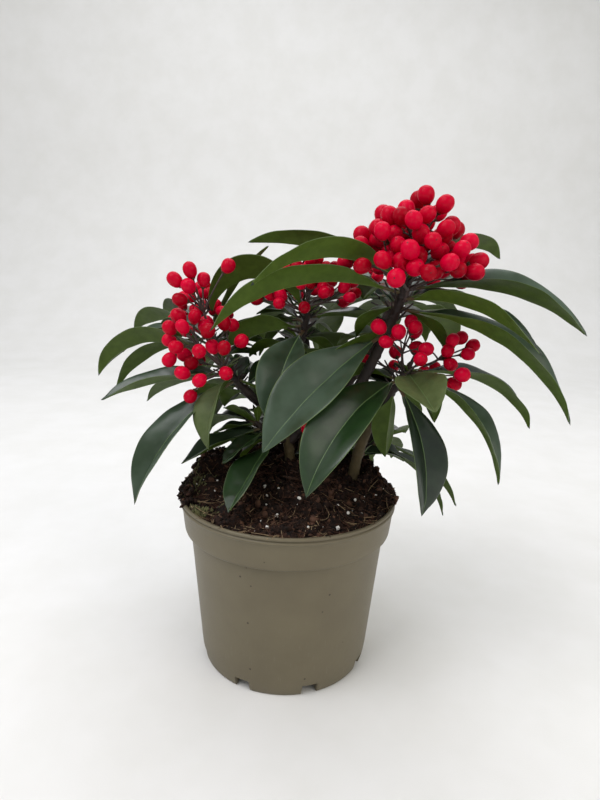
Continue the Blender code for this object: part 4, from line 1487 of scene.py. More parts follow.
@dataclass
class Foliage(Dressed):
    """The leaves of every mass, one piece for each, and the rooms of those folded so far."""

    folded: list[BVHTree] = field(default_factory=list)
    BLADE = Blade(LeafRule())
    SLOTS = (
        Palette.LEAF_DEEP, Palette.LEAF_MID, Palette.LEAF_PAINTED_SHEEN, Palette.UNDERSIDE, Palette.MIDRIB,
        Palette.RIB_UNDER, Palette.MARGIN, Palette.PETIOLE, Palette.BUD, Palette.LEAF_PALE,
    )
    # One leaf in four, at random, gets the skin with painted sheen
    TINTS = (LeafPart.DEEP, LeafPart.DEEP, LeafPart.MID, LeafPart.PAINTED_SHEEN)
    # Leaves that aren't waxed yet
    PALE = (("mass_front_right", 1), ("mass_left", 3))
    # Leaves turned or folded to show the face or the two faces seen: roll and fold in degrees
    CHANNELLED = {
        ("mass_top", 1): (-10.0, 40.0), ("mass_top", 2): (16.0, 26.0),
        ("mass_top", 3): (-4.0, 40.0), ("mass_left", 1): (6.0, 38.0),
        ("mass_front_right", 4): (-6.0, 36.0), ("mass_front_right", 2): (-12.0, 31.0),
        ("mass_low_left", 2): (-20.0, 31.0),
    }
    # Leaves near the light that get the skin with painted sheen: lighter, with grey patches of
    # painted reflection
    PAINTED_SHEEN = (("mass_top", 0), ("mass_top", 1), ("mass_top", 3))
    INFILL = 6
    INFILL_TRIES = 60
    FOLD_CLEARANCE = 0.1 * MM
    TIP_BLADE = Blade(
        LeafRule(), stations=14, columns=(0.0, 0.5, 0.9, 1.0), rib_half=0.2 * MM,
        thickness=0.4 * MM, petiole_thickness=0.8 * MM, rib_depth=0.1 * MM, vein_depth=0.0,
        wave=0.1 * MM,
    )

    def build(self) -> None:
        """Builds the leaves and end buds of every mass, which replace the coarse masses."""
        for name, shoot in SHOOTS.items():
            gathered = Gathered()
            draw = random.Random(f"{SEED} blades {name}")
            for number, (base, leaf) in enumerate(self.plan.leaves[name]):
                tint = draw.choice(self.TINTS)
                tint = LeafPart.PALE if (name, number) in self.PALE else tint
                tint = LeafPart.PAINTED_SHEEN if (name, number) in self.PAINTED_SHEEN else tint
                roll, fold = self.CHANNELLED.get((name, number), (leaf.roll, self.BLADE.fold))
                turned = replace(leaf, roll=roll)
                blade = replace(self.BLADE, fold=self.free_fold(base, turned, fold))
                blade.add(gathered, base, turned, tint, draw)
            for base, leaf in self.infill(name, shoot):
                self.BLADE.add(gathered, base, leaf, draw.choice(self.TINTS), draw)
            self.add_tip(gathered, shoot, draw)
            piece = gathered.build(f"leaves_{name}", self.wardrobe.get(*self.SLOTS))
            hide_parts(name)

    def free_fold(self, base: np.ndarray, leaf: Leaf, fold: float) -> float:
        """Folds a leaf a little less where its halves would otherwise meet another leaf.

        Args:
            base: where the leaf leaves its stem.
            leaf: the leaf.
            fold: how far it would fold, in degrees.

        Returns:
            The largest of five folds, down to the model's, at which it meets no leaf so far.
        """
        least = self.BLADE.rule.fold
        for share in (1.0, 0.75, 0.5, 0.25, 0.0):
            angle = least + share * (fold - least)
            rule = replace(self.BLADE.rule, fold=angle, clearance=self.FOLD_CLEARANCE)
            room = rule.guard(rule.sections(base, leaf), rule.guard_starts[1])
            if not any(room.overlap(other) for other in self.folded):
                break
        self.folded.append(room)
        return angle

    def infill(self, name: str, shoot: Shoot) -> list[tuple[np.ndarray, Leaf]]:
        """Finds room for short leaves low on a shoot, at its back, among those of the model.

        Args:
            name: the mass.
            shoot: its shoot.

        Returns:
            The foot of each leaf, and the leaf.
        """
        points = self.plan.limb_rule.path(shoot.stem)[0]
        draw = random.Random(f"{SEED} infill {name}")
        found: list[tuple[np.ndarray, Leaf]] = []
        for number in range(self.INFILL_TRIES):
            leaf = Leaf(
                10 + 170 * ((number * GOLDEN_ANGLE / 360) % 1), draw.uniform(-30, 35),
                draw.uniform(10, 50), draw.uniform(26, 48), draw.uniform(13, 19),
                draw.uniform(-20, 20), draw.uniform(0.05, 0.7),
            )
            base = on_path(points, leaf.at)
            if len(found) < self.INFILL and self.plan.space.takes(name, base, leaf):
                found.append((base, leaf))
        return found

    def add_tip(self, gathered: Gathered, shoot: Shoot, draw: random.Random) -> None:
        """Adds what stands at a shoot's tip: bud scales, or young leaves on a barren shoot.

        Args:
            gathered: where they go.
            shoot: the shoot.
            draw: the seeded choice of their turns.
        """
        points = self.plan.limb_rule.path(shoot.stem)[0]
        young = 9 if shoot.fruit else 5
        for number in range(young):
            heading = number * GOLDEN_ANGLE + draw.uniform(-15, 15)
            long = draw.uniform(7, 13) if shoot.fruit else draw.uniform(12, 22)
            rise = draw.uniform(15, 50) if shoot.fruit else 78 - 7 * number
            leaf = Leaf(heading, rise, 12, long, 0.3 * long, 0, 0.96)
            at = on_path(points, 0.9 + 0.1 * number / young)
            self.TIP_BLADE.add(gathered, at, leaf, LeafPart.BUD, draw)


# Fruit

class FruitPart(IntEnum):
    """The finishes of a berry, in the order of its material slots."""

    CRIMSON = 0
    BRIGHT = 1
    DEEP = 2
    TIP = 3
    CALYX = 4


@dataclass(frozen=True)
class Berry:
    """One ripe berry: an ovoid with a shallow dimple and a dark scar at its tip."""

    around: int = 14
    rings: int = 9
    dimple: float = 0.06
    taper: float = 0.07
    calyx_around: int = 15

    def skin(self) -> tuple[np.ndarray, np.ndarray, np.ndarray]:
        """Shapes a berry of radius one: r = sin πt (1 - taper cos πt), z = -cos πt - dimple.

        The dimple at the tip is as deep as dimple e^(-(r/0.3)²).

        Returns:
            Its points, its faces, and the finish of each face, with the skin as 0.
        """
        t = np.concatenate([np.linspace(0.1, 0.9, self.rings), [0.975, 0.984]])
        wide = np.sin(np.pi * t) * (1 - self.taper * np.cos(np.pi * t))
        high = -np.cos(np.pi * t) - self.dimple * np.exp(-((wide / 0.3) ** 2)) * (t > 0.5)
        high += 0.04 * (t > 0.97)
        points = turned_solid(wide, high, full_turn(self.around), (-1.0, 1.0 - 0.4 * self.dimple))
        faces = ring_faces(len(t), self.around)
        finish = np.zeros(len(faces), int)
        finish[(len(t) - 2) * self.around : (len(t) - 1) * self.around] = FruitPart.TIP
        finish[-self.around :] = FruitPart.TIP
        return points, faces, finish

    def calyx(self) -> tuple[np.ndarray, np.ndarray]:
        """Shapes the cup of five lobes below the berry, for a berry of radius one.

        Returns:
            Its points and its faces.
        """
        angle = full_turn(self.calyx_around)
        lobes = 1 + 0.28 * np.cos(5 * angle)
        wide = np.stack([0.13 + 0 * angle, 0.27 * lobes, 0.38 * lobes, 0.3 * lobes])
        high = np.array([-1.2, -1.06, -0.93, -0.9])
        return turned_solid(wide, high, angle, (-1.2, -0.85)), ring_faces(4, self.calyx_around)


@dataclass(frozen=True)
class Spray:
    """A side branch of a panicle: its start and berries, in millimetres, and its room.

    Other berries keep clear of its own by room times their radius.
    """

    start: tuple[float, float, float]
    berries: tuple[tuple[float, float, float], ...]
    room: float = 1.7


class Panicles(Dressed):
    """The fruit of every mass that bears any: berries in one piece, branched stalks in another."""

    BERRY = Berry()
    TINTS = 3 * (FruitPart.CRIMSON,) + 2 * (FruitPart.BRIGHT,) + (FruitPart.DEEP,)
    # Added berries: tries, shares of the dome's height and of its radius, and how far apart
    TRIES = 6000
    LEVELS = (0.3, 1.0)
    DEPTHS = (0.5, 1.04)
    APART = 1.74
    # Where a branch forks, and a stalk's radii in millimetres from there to its berry
    FORK = 0.52
    THICKNESS = (0.65, 0.52, 0.46, 0.44, 0.45, 0.5, 0.68)
    SPRAYS = {
        "mass_left": (
            Spray(
                (-47, -5, 196),
                ((-57.6, -8, 235.5), (-66, -8, 230), (-58, -11, 227), (-50.5, -6, 230.5),
                 (-63, -10, 219.5), (-36.8, -7, 238.4)),
            ),
        ),
        "mass_front_right": (
            Spray(
                (61, -23, 187),
                ((44.6, -35, 210.9), (54.7, -37, 208.9), (62.4, -26, 213.2), (62.9, -36, 211.6),
                 (48.6, -36, 203.4), (69.3, -37, 200.6)),
                3.0,
            ),
            Spray(
                (72, -21, 189),
                ((84.5, -29, 204.4), (90.7, -22, 205), (82.1, -30, 198.9),
                 (93.3, -29, 197.5), (97.2, -23, 201.3), (84.3, -30, 192),
                 (70.3, -32, 199.9)),
            ),
        ),
        "mass_centre": (Spray((3, 15, 162), ((19, 8, 153), (9.5, 7, 143), (14, 5, 160))),),
    }
    # How many berries each dome takes beyond the model's
    FILL = {
        "mass_top": 70, "mass_front_right": 0, "mass_centre": 22, "mass_left": 4,
        "mass_back_right": 12, "mass_back_centre": 12, "mass_back_left": 10,
    }
    SLOTS = (
        Palette.BERRY_CRIMSON, Palette.BERRY_BRIGHT, Palette.BERRY_DEEP, Palette.BERRY_TIP,
        Palette.CALYX,
    )

    def filled(self, name: str, fruit: Fruit) -> np.ndarray:
        """Adds berries between the placed ones, inside the same dome and clear of the leaves.

        The side sprays come last, and take the place of berries that are too near to them.

        Args:
            name: the mass.
            fruit: its panicle.

        Returns:
            The centres of all its berries.
        """
        draw = np.random.default_rng(SEED + len(name))
        placed = list(self.plan.berries[name])
        foot, height, turned = dome_frame(fruit)
        radius = fruit.berry * MM / 2
        wanted = len(placed) + self.FILL[name]
        for _ in range(self.TRIES):
            if len(placed) >= wanted:
                break
            level = draw.uniform(*self.LEVELS)
            turn = draw.uniform(0, 2 * math.pi)
            dome = fruit.radius * MM * (1 - level**2.2) ** 0.7 * draw.uniform(*self.DEPTHS)
            local = np.array([dome * math.cos(turn), dome * math.sin(turn), level * height])
            centre = foot + local @ turned
            near = np.linalg.norm(np.array(placed) - centre, axis=1).min()
            if near < self.APART * radius:
                continue
            start = self.plan.fruit_rule.start(fruit, centre)
            if self.plan.space.berry_is_free(name, start, centre, radius):
                self.plan.space.add_berry(name, start, centre, radius)
                placed.append(centre)
        sprays = self.SPRAYS.get(name, ())
        for spray in sprays:
            own = np.array([in_metres(each) for each in spray.berries])
            placed = [
                each for each in placed
                if np.linalg.norm(own - each, axis=1).min() > spray.room * radius
            ]
        sprayed = [in_metres(each) for spray in sprays for each in spray.berries]
        for centre in sprayed:
            self.plan.space.berries.append((name, Vector(centre), radius))
        return np.array(placed + sprayed)

    def grouped(self, centres: np.ndarray, reach: float) -> list[np.ndarray]:
        """Groups neighbouring berries, up to four on one branch of the panicle.

        Args:
            centres: the berries.
            reach: how far apart the berries of a group may be.

        Returns:
            The numbers of the berries in each group.
        """
        left = list(range(len(centres)))
        groups = []
        while left:
            first = left.pop(0)
            away = [float(np.linalg.norm(centres[other] - centres[first])) for other in left]
            near = [left[place] for place in np.argsort(away)[:3] if away[place] < reach]
            left = [other for other in left if other not in near]
            groups.append(np.array([first, *near]))
        return groups

    def build(self) -> None:
        """Builds berries and stalks, which stand for part of each coarse mass."""
        for name, shoot in SHOOTS.items():
            if shoot.fruit:
                centres = self.filled(name, shoot.fruit)
                ways = self.build_stalks(name, shoot.fruit, centres)
                self.build_berries(name, shoot.fruit, centres, ways)

    def build_stalks(self, name: str, fruit: Fruit, centres: np.ndarray) -> np.ndarray:
        """Builds the axis, its branches, and a stalk to each berry.

        Args:
            name: the mass.
            fruit: its panicle.
            centres: its berries.

        Returns:
            The direction in which each stalk meets its berry.
        """
        gathered = Gathered()
        foot = in_metres(fruit.foot)
        axis = in_metres(fruit.top) - foot
        spine = foot + axis * np.linspace(-0.15, 0.74, 12)[:, None]
        gathered.add(*carried_round(spine, np.linspace(1.5, 0.7, 12) * MM, 8))
        ways = np.zeros_like(centres)
        radius = fruit.berry * MM / 2
        rise = unit(axis)
        sprays = self.SPRAYS.get(name, ())
        own = len(centres) - sum(len(spray.berries) for spray in sprays)
        branches = [
            (self.plan.fruit_rule.start(fruit, centres[group].mean(axis=0)), group)
            for group in self.grouped(centres[:own], 2.1 * fruit.berry * MM)
        ]
        for spray in sprays:
            branches.append((in_metres(spray.start), np.arange(own, own + len(spray.berries))))
            own += len(spray.berries)
        for start, group in branches:
            middle = centres[group].mean(axis=0)
            fork = start + (middle - start) * self.FORK - rise * 1.5 * MM
            branch = bent_path(start, (start + fork) / 2 - rise * 1.2 * MM, fork, 7)
            gathered.add(*carried_round(branch, np.linspace(0.95, 0.65, 7) * MM, 7))
            for number in group:
                centre = centres[number]
                control = fork + 0.55 * (centre - fork) + 0.12 * (middle - centre)
                ways[number] = unit(centre - control)
                end = centre - ways[number] * radius * 1.05
                stalk = bent_path(fork, control, end, len(self.THICKNESS))
                gathered.add(*carried_round(stalk, np.array(self.THICKNESS) * MM, 6))
        piece = gathered.build(f"stalks_{name}", self.wardrobe.get(Palette.STALK))
        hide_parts(name)
        return ways

    def build_berries(
        self, name: str, fruit: Fruit, centres: np.ndarray, ways: np.ndarray
    ) -> None:
        """Builds the berries, each a little different in size and length.

        Args:
            name: the mass.
            fruit: its panicle.
            centres: where the berries are.
            ways: which way each faces.
        """
        draw = np.random.default_rng(SEED + 7 * len(name))
        count = len(centres)
        axes = axes_along(ways, draw)
        size = fruit.berry * MM / 2 * draw.uniform(0.83, 0.97, count)
        tall = draw.uniform(1.08, 1.24, count)
        scale = np.stack([size, size * draw.uniform(0.95, 1.0, count), size * tall], axis=1)
        tint = draw.choice(self.TINTS, count)
        gathered = Gathered()
        points, faces, finish = self.BERRY.skin()
        lumps = 1 + 0.025 * lattice_noise(points[None] + 9.0 * np.arange(count)[:, None, None], 0.9)
        placed = set_on(points * lumps[..., None] * scale[:, None], axes, centres)
        gathered.add_many(placed, faces, np.where(finish[None] == 0, tint[:, None], finish[None]))
        points, faces = self.BERRY.calyx()
        placed = set_on(points * scale[:, None], axes, centres)
        gathered.add_many(placed, faces, int(FruitPart.CALYX))
        piece = gathered.build(f"berries_{name}", self.wardrobe.get(*self.SLOTS))
        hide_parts(name)
        log.info("%s carries %d berries", name, count)


# Limbs

@dataclass(frozen=True)
class Bark:
    """The bark's relief on a limb: a wavering girth, fine ridges and the scars of old leaves."""

    around: int = 20
    step: float = 0.8 * MM
    waver: float = 0.05
    ridge: float = 0.14 * MM
    scar_spacing: float = 8.5 * MM
    scar_height: float = 0.5 * MM
    into_soil: float = 8.0 * MM
    into_limb: float = 3.0 * MM
    collar: float = 0.3
    collar_length: float = 2.0 * MM
    waver_size: float = 5.0 * MM
    ridge_size: tuple[float, float, float] = (0.9 * MM, 0.9 * MM, 3.0 * MM)
    scar_width: float = 0.8 * MM
    past_tip: float = 0.6 * MM

    def surface(
        self, points: np.ndarray, radii: np.ndarray, sunk: float, seed: int
    ) -> tuple[np.ndarray, np.ndarray]:
        """Carries the relief along a limb, whose start is sunk into what it grows from.

        The radius is r (1 + collar e^(-s/2mm) + waver n) + ridges + scars, and a scar is a
        raised band that is strongest on one side, each turned by the golden angle.

        Args:
            points: the limb's path.
            radii: its radius along the path.
            sunk: how far its start is sunk.
            seed: which noise.

        Returns:
            The points of the closed limb, and its faces.
        """
        below = points[0] - unit(points[1] - points[0]) * sunk
        beyond = points[-1] + unit(points[-1] - points[-2]) * self.past_tip
        path = np.vstack([below, points, beyond])
        thick = np.concatenate([radii[:1], radii, radii[-1:]])
        travelled = distances(path)
        count = max(int(travelled[-1] / self.step), 8)
        fine = np.linspace(0, travelled[-1], count)
        path = np.stack([np.interp(fine, travelled, path[:, axis]) for axis in range(3)], axis=1)
        smooth = np.vstack([path[:1], (path[:-2] + 2 * path[1:-1] + path[2:]) / 4, path[-1:]])
        thick = np.interp(fine, travelled, thick)[:, None]
        side, other = path_frames(smooth)
        angle = full_turn(self.around)
        skin = smooth[:, None] + thick[..., None] * outward(side, other, angle)
        radius = thick * (1 + self.waver * lattice_noise(skin, self.waver_size, seed))
        fading = np.exp(-np.maximum(fine - sunk, 0) / self.collar_length)[:, None]
        radius += thick * self.collar * fading
        radius += self.ridge * lattice_noise(skin, self.ridge_size, seed + 1)
        for number in range(int(travelled[-1] / self.scar_spacing)):
            place = sunk + (number + 0.6) * self.scar_spacing
            facing = math.radians(number * GOLDEN_ANGLE + 40 * seed)
            band = np.exp(-(((fine - place) / self.scar_width) ** 2))[:, None]
            radius += self.scar_height * band * (0.25 + 0.75 * np.cos((angle - facing) / 2) ** 4)
        return carried_round(smooth, radius, self.around)


class Limbs(Dressed):
    """Stems, boughs and the stems of the shoots, sunk into each other and into the peat."""

    BARK = Bark()
    TWIG = Bark(scar_spacing=4.0 * MM, scar_height=0.7 * MM, ridge=0.1 * MM)
    # A stub's radii in millimetres, from its foot to its end
    STUB = (0.95, 0.75, 0.6, 0.52, 0.48, 0.4)

    def build(self) -> None:
        """Builds one piece for each limb of the model, and one for the stem of each mass."""
        for seed, (name, limb) in enumerate(LIMBS.items()):
            rooted = len(limb.origin) == 3
            sunk = self.BARK.into_soil if rooted else self.BARK.into_limb
            path = self.plan.limb_rule.path(limb, 16)
            gathered = Gathered()
            gathered.add(*self.BARK.surface(*path, sunk, seed))
            finish = Palette.BARK_OLD if rooted else Palette.BARK_YOUNG
            piece = gathered.build(f"bark_{name}", self.wardrobe.get(finish))
            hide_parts(name)
        for seed, (name, shoot) in enumerate(SHOOTS.items()):
            path = self.plan.limb_rule.path(shoot.stem, 12)
            gathered = Gathered()
            gathered.add(*self.TWIG.surface(*path, self.TWIG.into_limb, 20 + seed))
            self.add_stubs(gathered, path[0], name, 18 if shoot.fruit else 6)
            piece = gathered.build(f"twig_{name}", self.wardrobe.get(Palette.BARK_YOUNG))
            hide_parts(name)

    def add_stubs(self, gathered: Gathered, points: np.ndarray, name: str, count: int) -> None:
        """Adds the stubs of fallen leaves' stalks and bracts, turned by the golden angle.

        Args:
            gathered: where they go.
            points: the shoot's path.
            name: the mass, which seeds their lengths.
            count: how many.
        """
        draw = random.Random(f"{SEED} stubs {name}")
        for number in range(count):
            foot = on_path(points, 0.25 + 0.75 * number / count)
            heading = math.radians(number * GOLDEN_ANGLE + draw.uniform(-20, 20))
            rise = math.radians(draw.uniform(5, 50))
            flat = math.cos(rise)
            way = np.array([flat * math.cos(heading), flat * math.sin(heading), math.sin(rise)])
            long = draw.uniform(5, 14) * MM
            tip = foot + way * long + np.array([0, 0, draw.uniform(0, 0.35) * long])
            path = bent_path(foot, foot + way * 0.6 * long, tip, len(self.STUB))
            gathered.add(*carried_round(path, np.array(self.STUB) * MM, 6))


# Pot

@dataclass(frozen=True)
class Pot:
    """The nursery pot: one moulded shell, turned from its section, with notches in its foot.

    Each place of the section is a radius and height in millimetres, then the same place
    inside a notch where that differs.
    """

    segments: int = 168
    notches: int = 8
    front_foot: float = -94.0
    notch_half: float = 5.15
    section: tuple[tuple[float, ...], ...] = (
        (8.0, 1.2), (20.0, 1.2), (31.5, 1.2), (33.0, 1.6), (34.0, 4.2), (35.0, 4.4), (42.0, 4.4),
        (45.5, 4.4, 44.6, 4.5), (49.0, 4.5, 46.0, 5.2), (50.2, 5.4, 46.4, 7.7),
        (50.7, 6.5, 50.0, 7.9), (50.9, 8.5), (52.6, 28.0), (54.4, 48.0), (56.2, 68.0),
        (57.7, 84.6), (58.0, 86.0), (58.8, 86.4), (60.6, 86.5), (61.3, 87.2), (61.9, 94.0),
        (62.7, 103.6), (63.0, 104.6), (63.4, 105.0), (64.2, 105.05), (64.7, 104.9),
        (65.0, 104.4), (65.0, 103.7), (64.7, 103.3), (63.8, 102.95), (63.8, 102.6),
        (64.6, 102.3), (64.95, 101.8), (64.9, 101.2), (64.2, 100.7), (63.9, 100.2),
        (63.5, 96.0), (62.9, 90.0), (62.45, 86.2), (62.2, 85.4), (61.7, 85.05), (60.6, 85.0),
        (59.6, 84.9), (59.1, 84.5), (58.9, 83.6), (57.4, 68.0), (55.6, 48.0), (53.8, 28.0),
        (52.4, 12.0), (52.0, 8.2), (51.8, 6.9), (51.6, 5.6, 51.7, 6.65), (51.1, 3.0, 51.4, 6.5),
        (50.4, 0.8, 50.4, 6.45), (50.0, 0.2, 50.0, 6.45), (49.6, 0.0, 49.6, 6.45),
        (48.0, 0.0, 48.0, 6.4), (47.7, 0.2, 47.6, 6.2), (47.6, 1.6, 47.5, 4.8),
        (47.5, 3.0, 47.4, 3.4), (46.8, 3.2), (40.0, 3.2), (35.6, 3.1), (35.1, 2.6), (34.6, 0.4),
        (34.2, 0.0), (30.0, 0.0), (29.6, 0.25), (29.2, 0.0), (12.0, 0.0), (11.6, 0.2),
        (11.2, 0.0), (3.2, 0.0), (2.8, 0.4), (1.5, 0.45),
    )

    def build(self, wardrobe: Wardrobe) -> None:
        """Turns the section round the Z axis and blends it into the notches.

        Args:
            wardrobe: the finishes.
        """
        angles = np.arange(self.segments) * 360.0 / self.segments
        centres = self.front_foot + (np.arange(self.notches) + 0.5) * 360.0 / self.notches
        half = self.notch_half
        corners = (centres[:, None] + np.array([-half - 0.2, -half, half, half + 0.2])) % 360.0
        angles = np.sort(np.concatenate([angles, corners.ravel()]))
        away = np.abs((angles[:, None] - centres[None] + 180.0) % 360.0 - 180.0).min(axis=1)
        notched = np.clip((half + 0.15 - away) / 0.1, 0, 1)
        whole = np.array([place[:2] for place in self.section])
        opened = np.array([place[-2:] for place in self.section])
        section = whole[:, None] + (opened - whole)[:, None] * notched[None, :, None]
        wide, high = section[::-1, :, 0], section[::-1, :, 1]
        points = turned_solid(wide, high, np.radians(angles), (whole[-1, 1], whole[0, 1])) * MM
        gathered = Gathered()
        gathered.add(points, ring_faces(len(section), len(angles)))
        piece = gathered.build("pot_shell", wardrobe.get(Palette.POT))
        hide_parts("pot")


# Peat

@dataclass(frozen=True)
class Heap:
    """A low heap on the peat: place, height and spread in millimetres."""

    x: float
    y: float
    height: float
    spread: float


@dataclass(frozen=True)
class PeatBed:
    """The root ball's surface and what lies on it: crumbs, fibres, chips, perlite and moss."""

    ground: GroundRule
    rings: int = 104
    around: int = 208
    edge: float = 62.2 * MM
    lip_from: float = 56.0 * MM
    lip_over: float = 6.2 * MM
    lip_height: float = 103.6 * MM
    lip_pull: float = 0.7
    reach: float = 62.0 * MM
    inside: tuple[tuple[float, float], ...] = (
        (10.0, 1.9), (31.0, 1.9), (32.6, 5.2), (47.0, 5.2), (49.0, 8.5), (56.6, 86.9),
        (60.2, 87.2), (61.6, 99.0),
    )
    lumps: tuple[tuple[float, float], ...] = ((11.0, 2.6), (5.2, 2.8), (2.4, 1.7), (1.1, 0.7))
    heaps: tuple[Heap, ...] = (
        Heap(-54, 6, 10, 10), Heap(-50, 26, 12, 12), Heap(-30, 46, 9, 13), Heap(0, 55, 6, 16),
        Heap(32, 48, 8, 14), Heap(52, 24, 10, 12), Heap(57, -2, 6, 9),
    )
    crumbs: int = 4200
    spilled: int = 800
    fibres: int = 1100
    roots: int = 150
    chips: int = 160
    grains: int = 85
    sprigs: int = 560
    moss: tuple[tuple[float, float, float], ...] = ((-48.0, -34.0, 8.0), (-58.0, -4.0, 9.0))
    CRUMB_SLOTS = (Palette.CRUMB, Palette.CHIP, Palette.PEAT, Palette.FIBRE)
    STRAND_SLOTS = (Palette.FIBRE, Palette.ROOT, Palette.CRUMB)

    def height(self, x: np.ndarray, y: np.ndarray, rough: bool = True) -> np.ndarray:
        """Gives the peat's height: the model's mound, the heaps and four sizes of lumps.

        Args:
            x: places, in metres.
            y: places, in metres.
            rough: whether the lumps count.

        Returns:
            The heights.
        """
        g = self.ground
        away = ((x - g.centre[0]) ** 2 + (y - g.centre[1]) ** 2) / (2 * g.spread**2)
        height = g.edge + g.back_rise * y / g.back_reach + g.mound * np.exp(-away)
        for heap in self.heaps:
            off = (x - heap.x * MM) ** 2 + (y - heap.y * MM) ** 2
            height = height + heap.height * MM * np.exp(-off / (2 * (heap.spread * MM) ** 2))
        out = np.clip((np.hypot(x, y) - self.lip_from) / self.lip_over, 0, 1)
        height = height - (height - self.lip_height) * self.lip_pull * out**2
        if rough:
            flat = np.stack([x, y, np.zeros_like(x)], axis=-1)
            for number, (size, deep) in enumerate(self.lumps):
                height = height + deep * MM * lattice_noise(flat, size * MM, number)
        return height

    def build(self, wardrobe: Wardrobe) -> None:
        """Builds the root ball and everything on it, and replaces the model's soil.

        Args:
            wardrobe: the finishes.
        """
        draw = np.random.default_rng(SEED)
        for name, gathered, finishes in (
            ("peat_ball", self.ball(), (Palette.PEAT,)),
            ("peat_crumbs", self.loose(draw), self.CRUMB_SLOTS),
            ("peat_fibres", self.strands(draw), self.STRAND_SLOTS),
            ("perlite_grains", self.perlite(draw), (Palette.PERLITE,)),
            ("moss_tuft", self.tuft(draw), (Palette.MOSS,)),
        ):
            piece = gathered.build(name, wardrobe.get(*finishes))
            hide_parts("soil")

    def ball(self) -> Gathered:
        """Shapes the root ball: up the pot's inside, then over the rough top to its middle.

        Returns:
            The ball.
        """
        sides = np.array(self.inside) * MM
        radius = self.edge * np.linspace(0.012, 1, self.rings)[::-1]
        angle = full_turn(self.around)
        top = self.height(radius[:, None] * np.cos(angle), radius[:, None] * np.sin(angle))
        wide = np.concatenate([sides[:, 0], radius])
        high = np.concatenate([np.repeat(sides[:, 1:], self.around, axis=1), top])
        crest = float(self.height(np.zeros(1), np.zeros(1))[0])
        gathered = Gathered()
        points = turned_solid(wide, high, angle, (sides[0, 1], crest))
        gathered.add(points, ring_faces(len(wide), self.around))
        return gathered

    def strewn(
        self, draw: np.random.Generator, count: int, reach: float, front: float = 0.0
    ) -> np.ndarray:
        """Strews places over the peat.

        Args:
            draw: the seeded choice.
            count: how many places.
            reach: the radius that they reach out to.
            front: the share of them that is turned to the front.

        Returns:
            The places, on the peat's surface.
        """
        away = reach * np.sqrt(draw.random(count))
        turn = draw.random(count) * 2 * np.pi
        x, y = away * np.cos(turn), away * np.sin(turn)
        y = np.where(draw.random(count) < front, -np.abs(y), y)
        return np.stack([x, y, self.height(x, y)], axis=-1)

    def banked(self, draw: np.random.Generator) -> np.ndarray:
        """Banks places against the pot's lip, at the left, the right and the back.

        Args:
            draw: the seeded choice.

        Returns:
            The places, up to c (1 - t)^0.8 above the lip, where t runs outward from 0 to 1.
        """
        sector = draw.choice(3, self.spilled, p=[0.45, 0.3, 0.25])
        middle = np.array([178.0, 8.0, 95.0])[sector]
        wide = np.array([20.0, 18.0, 30.0])[sector]
        turn = np.radians(middle + wide * np.clip(draw.normal(size=self.spilled) / 1.6, -1.3, 1.3))
        t = draw.random(self.spilled)
        away = (57.5 + 8.3 * t) * MM
        crest = np.array([9.5, 6.0, 5.0])[sector] * (1 - t) ** 0.8
        height = (104.2 + crest * draw.uniform(0.2, 1.0, self.spilled)) * MM
        return np.stack([away * np.cos(turn), away * np.sin(turn), height], axis=-1)

    def loose(self, draw: np.random.Generator) -> Gathered:
        """Lays crumbs and bark chips: uneven round lumps and flat flakes, turned at random.

        Args:
            draw: the seeded choice.

        Returns:
            The crumbs and chips.
        """
        crumb, chip, peat, fibre = range(len(self.CRUMB_SLOTS))
        level = [[1, 0, 0], [0, 1, 0], [-1, 0, 0], [0, -1, 0]]
        corners = np.array([*level, [0, 0, -1], [0, 0, 1]], float)
        middles = np.array([a + b for a, b in itertools.combinations(corners, 2) if a @ b == 0])
        solid = np.concatenate([corners, normed(middles)])
        faces = hull_faces(solid)
        count = self.crumbs + self.spilled + self.chips
        loose = count - self.chips
        places = self.strewn(draw, count, self.reach)
        places[self.crumbs : loose] = self.banked(draw)
        size = np.clip(draw.lognormal(0.0, 0.5, count), 0.35, 2.3)[:, None] * MM
        shape = size[:, None] * draw.uniform(0.55, 1.25, (count, 1, 3))
        shape[loose:] *= np.array([2.2, 1.1, 0.3])
        points = solid[None] * draw.uniform(0.6, 1.3, (count, len(solid), 1)) * shape
        axes = turned_axes(draw, count)
        flat = axes[loose:].copy()
        flat[:, 2] = unit(np.array([0.1, 0.1, 1.0]))
        flat[:, 0] = normed(np.cross(flat[:, 1], flat[:, 2]))
        flat[:, 1] = np.cross(flat[:, 2], flat[:, 0])
        axes[loose:] = flat
        kind = draw.choice([crumb, crumb, peat, peat, peat, fibre], count)
        finish = np.where(np.arange(count) < loose, kind, chip)
        gathered = Gathered()
        gathered.add_many(set_on(points, axes, places), faces, finish)
        return gathered

    def strands(self, draw: np.random.Generator) -> Gathered:
        """Lays fibres and pale roots: thin bent threads that rise a little at their ends.

        Args:
            draw: the seeded choice.

        Returns:
            The fibres and roots.
        """
        fibre, root, crumb = range(len(self.STRAND_SLOTS))
        taper = np.array([0.5, 0.9, 1, 1, 0.8, 0.4])
        gathered = Gathered()
        places = self.strewn(draw, self.fibres + self.roots, self.reach, 0.35)
        for number, place in enumerate(places):
            pale = number >= self.fibres
            long = (draw.uniform(4, 17) if pale else draw.uniform(3, 13)) * MM
            thick = (draw.uniform(0.1, 0.3) if pale else draw.uniform(0.1, 0.24)) * MM
            way = np.array([*draw.normal(size=2), 0.0])
            way = unit(way) * long / 2
            bend = np.array([*draw.normal(size=2) * 0.25 * long, draw.uniform(0, 0.12) * long])
            start, end = place - way, place + way
            for tip in (start, end):
                away = math.hypot(tip[0], tip[1])
                tip[:2] *= min(1.0, 66.0 * MM / away)
                ground = self.height(np.array([tip[0]]), np.array([tip[1]]), False)[0]
                tip[2] = max(ground, (away > 61 * MM) * 104.8 * MM) + draw.uniform(-0.4, 3.0) * MM
            path = bent_path(start, place + bend, end, len(taper))
            finish = root if pale else int(draw.choice([fibre, fibre, crumb]))
            gathered.add(*carried_round(path, thick * taper, 4), finish)
        return gathered

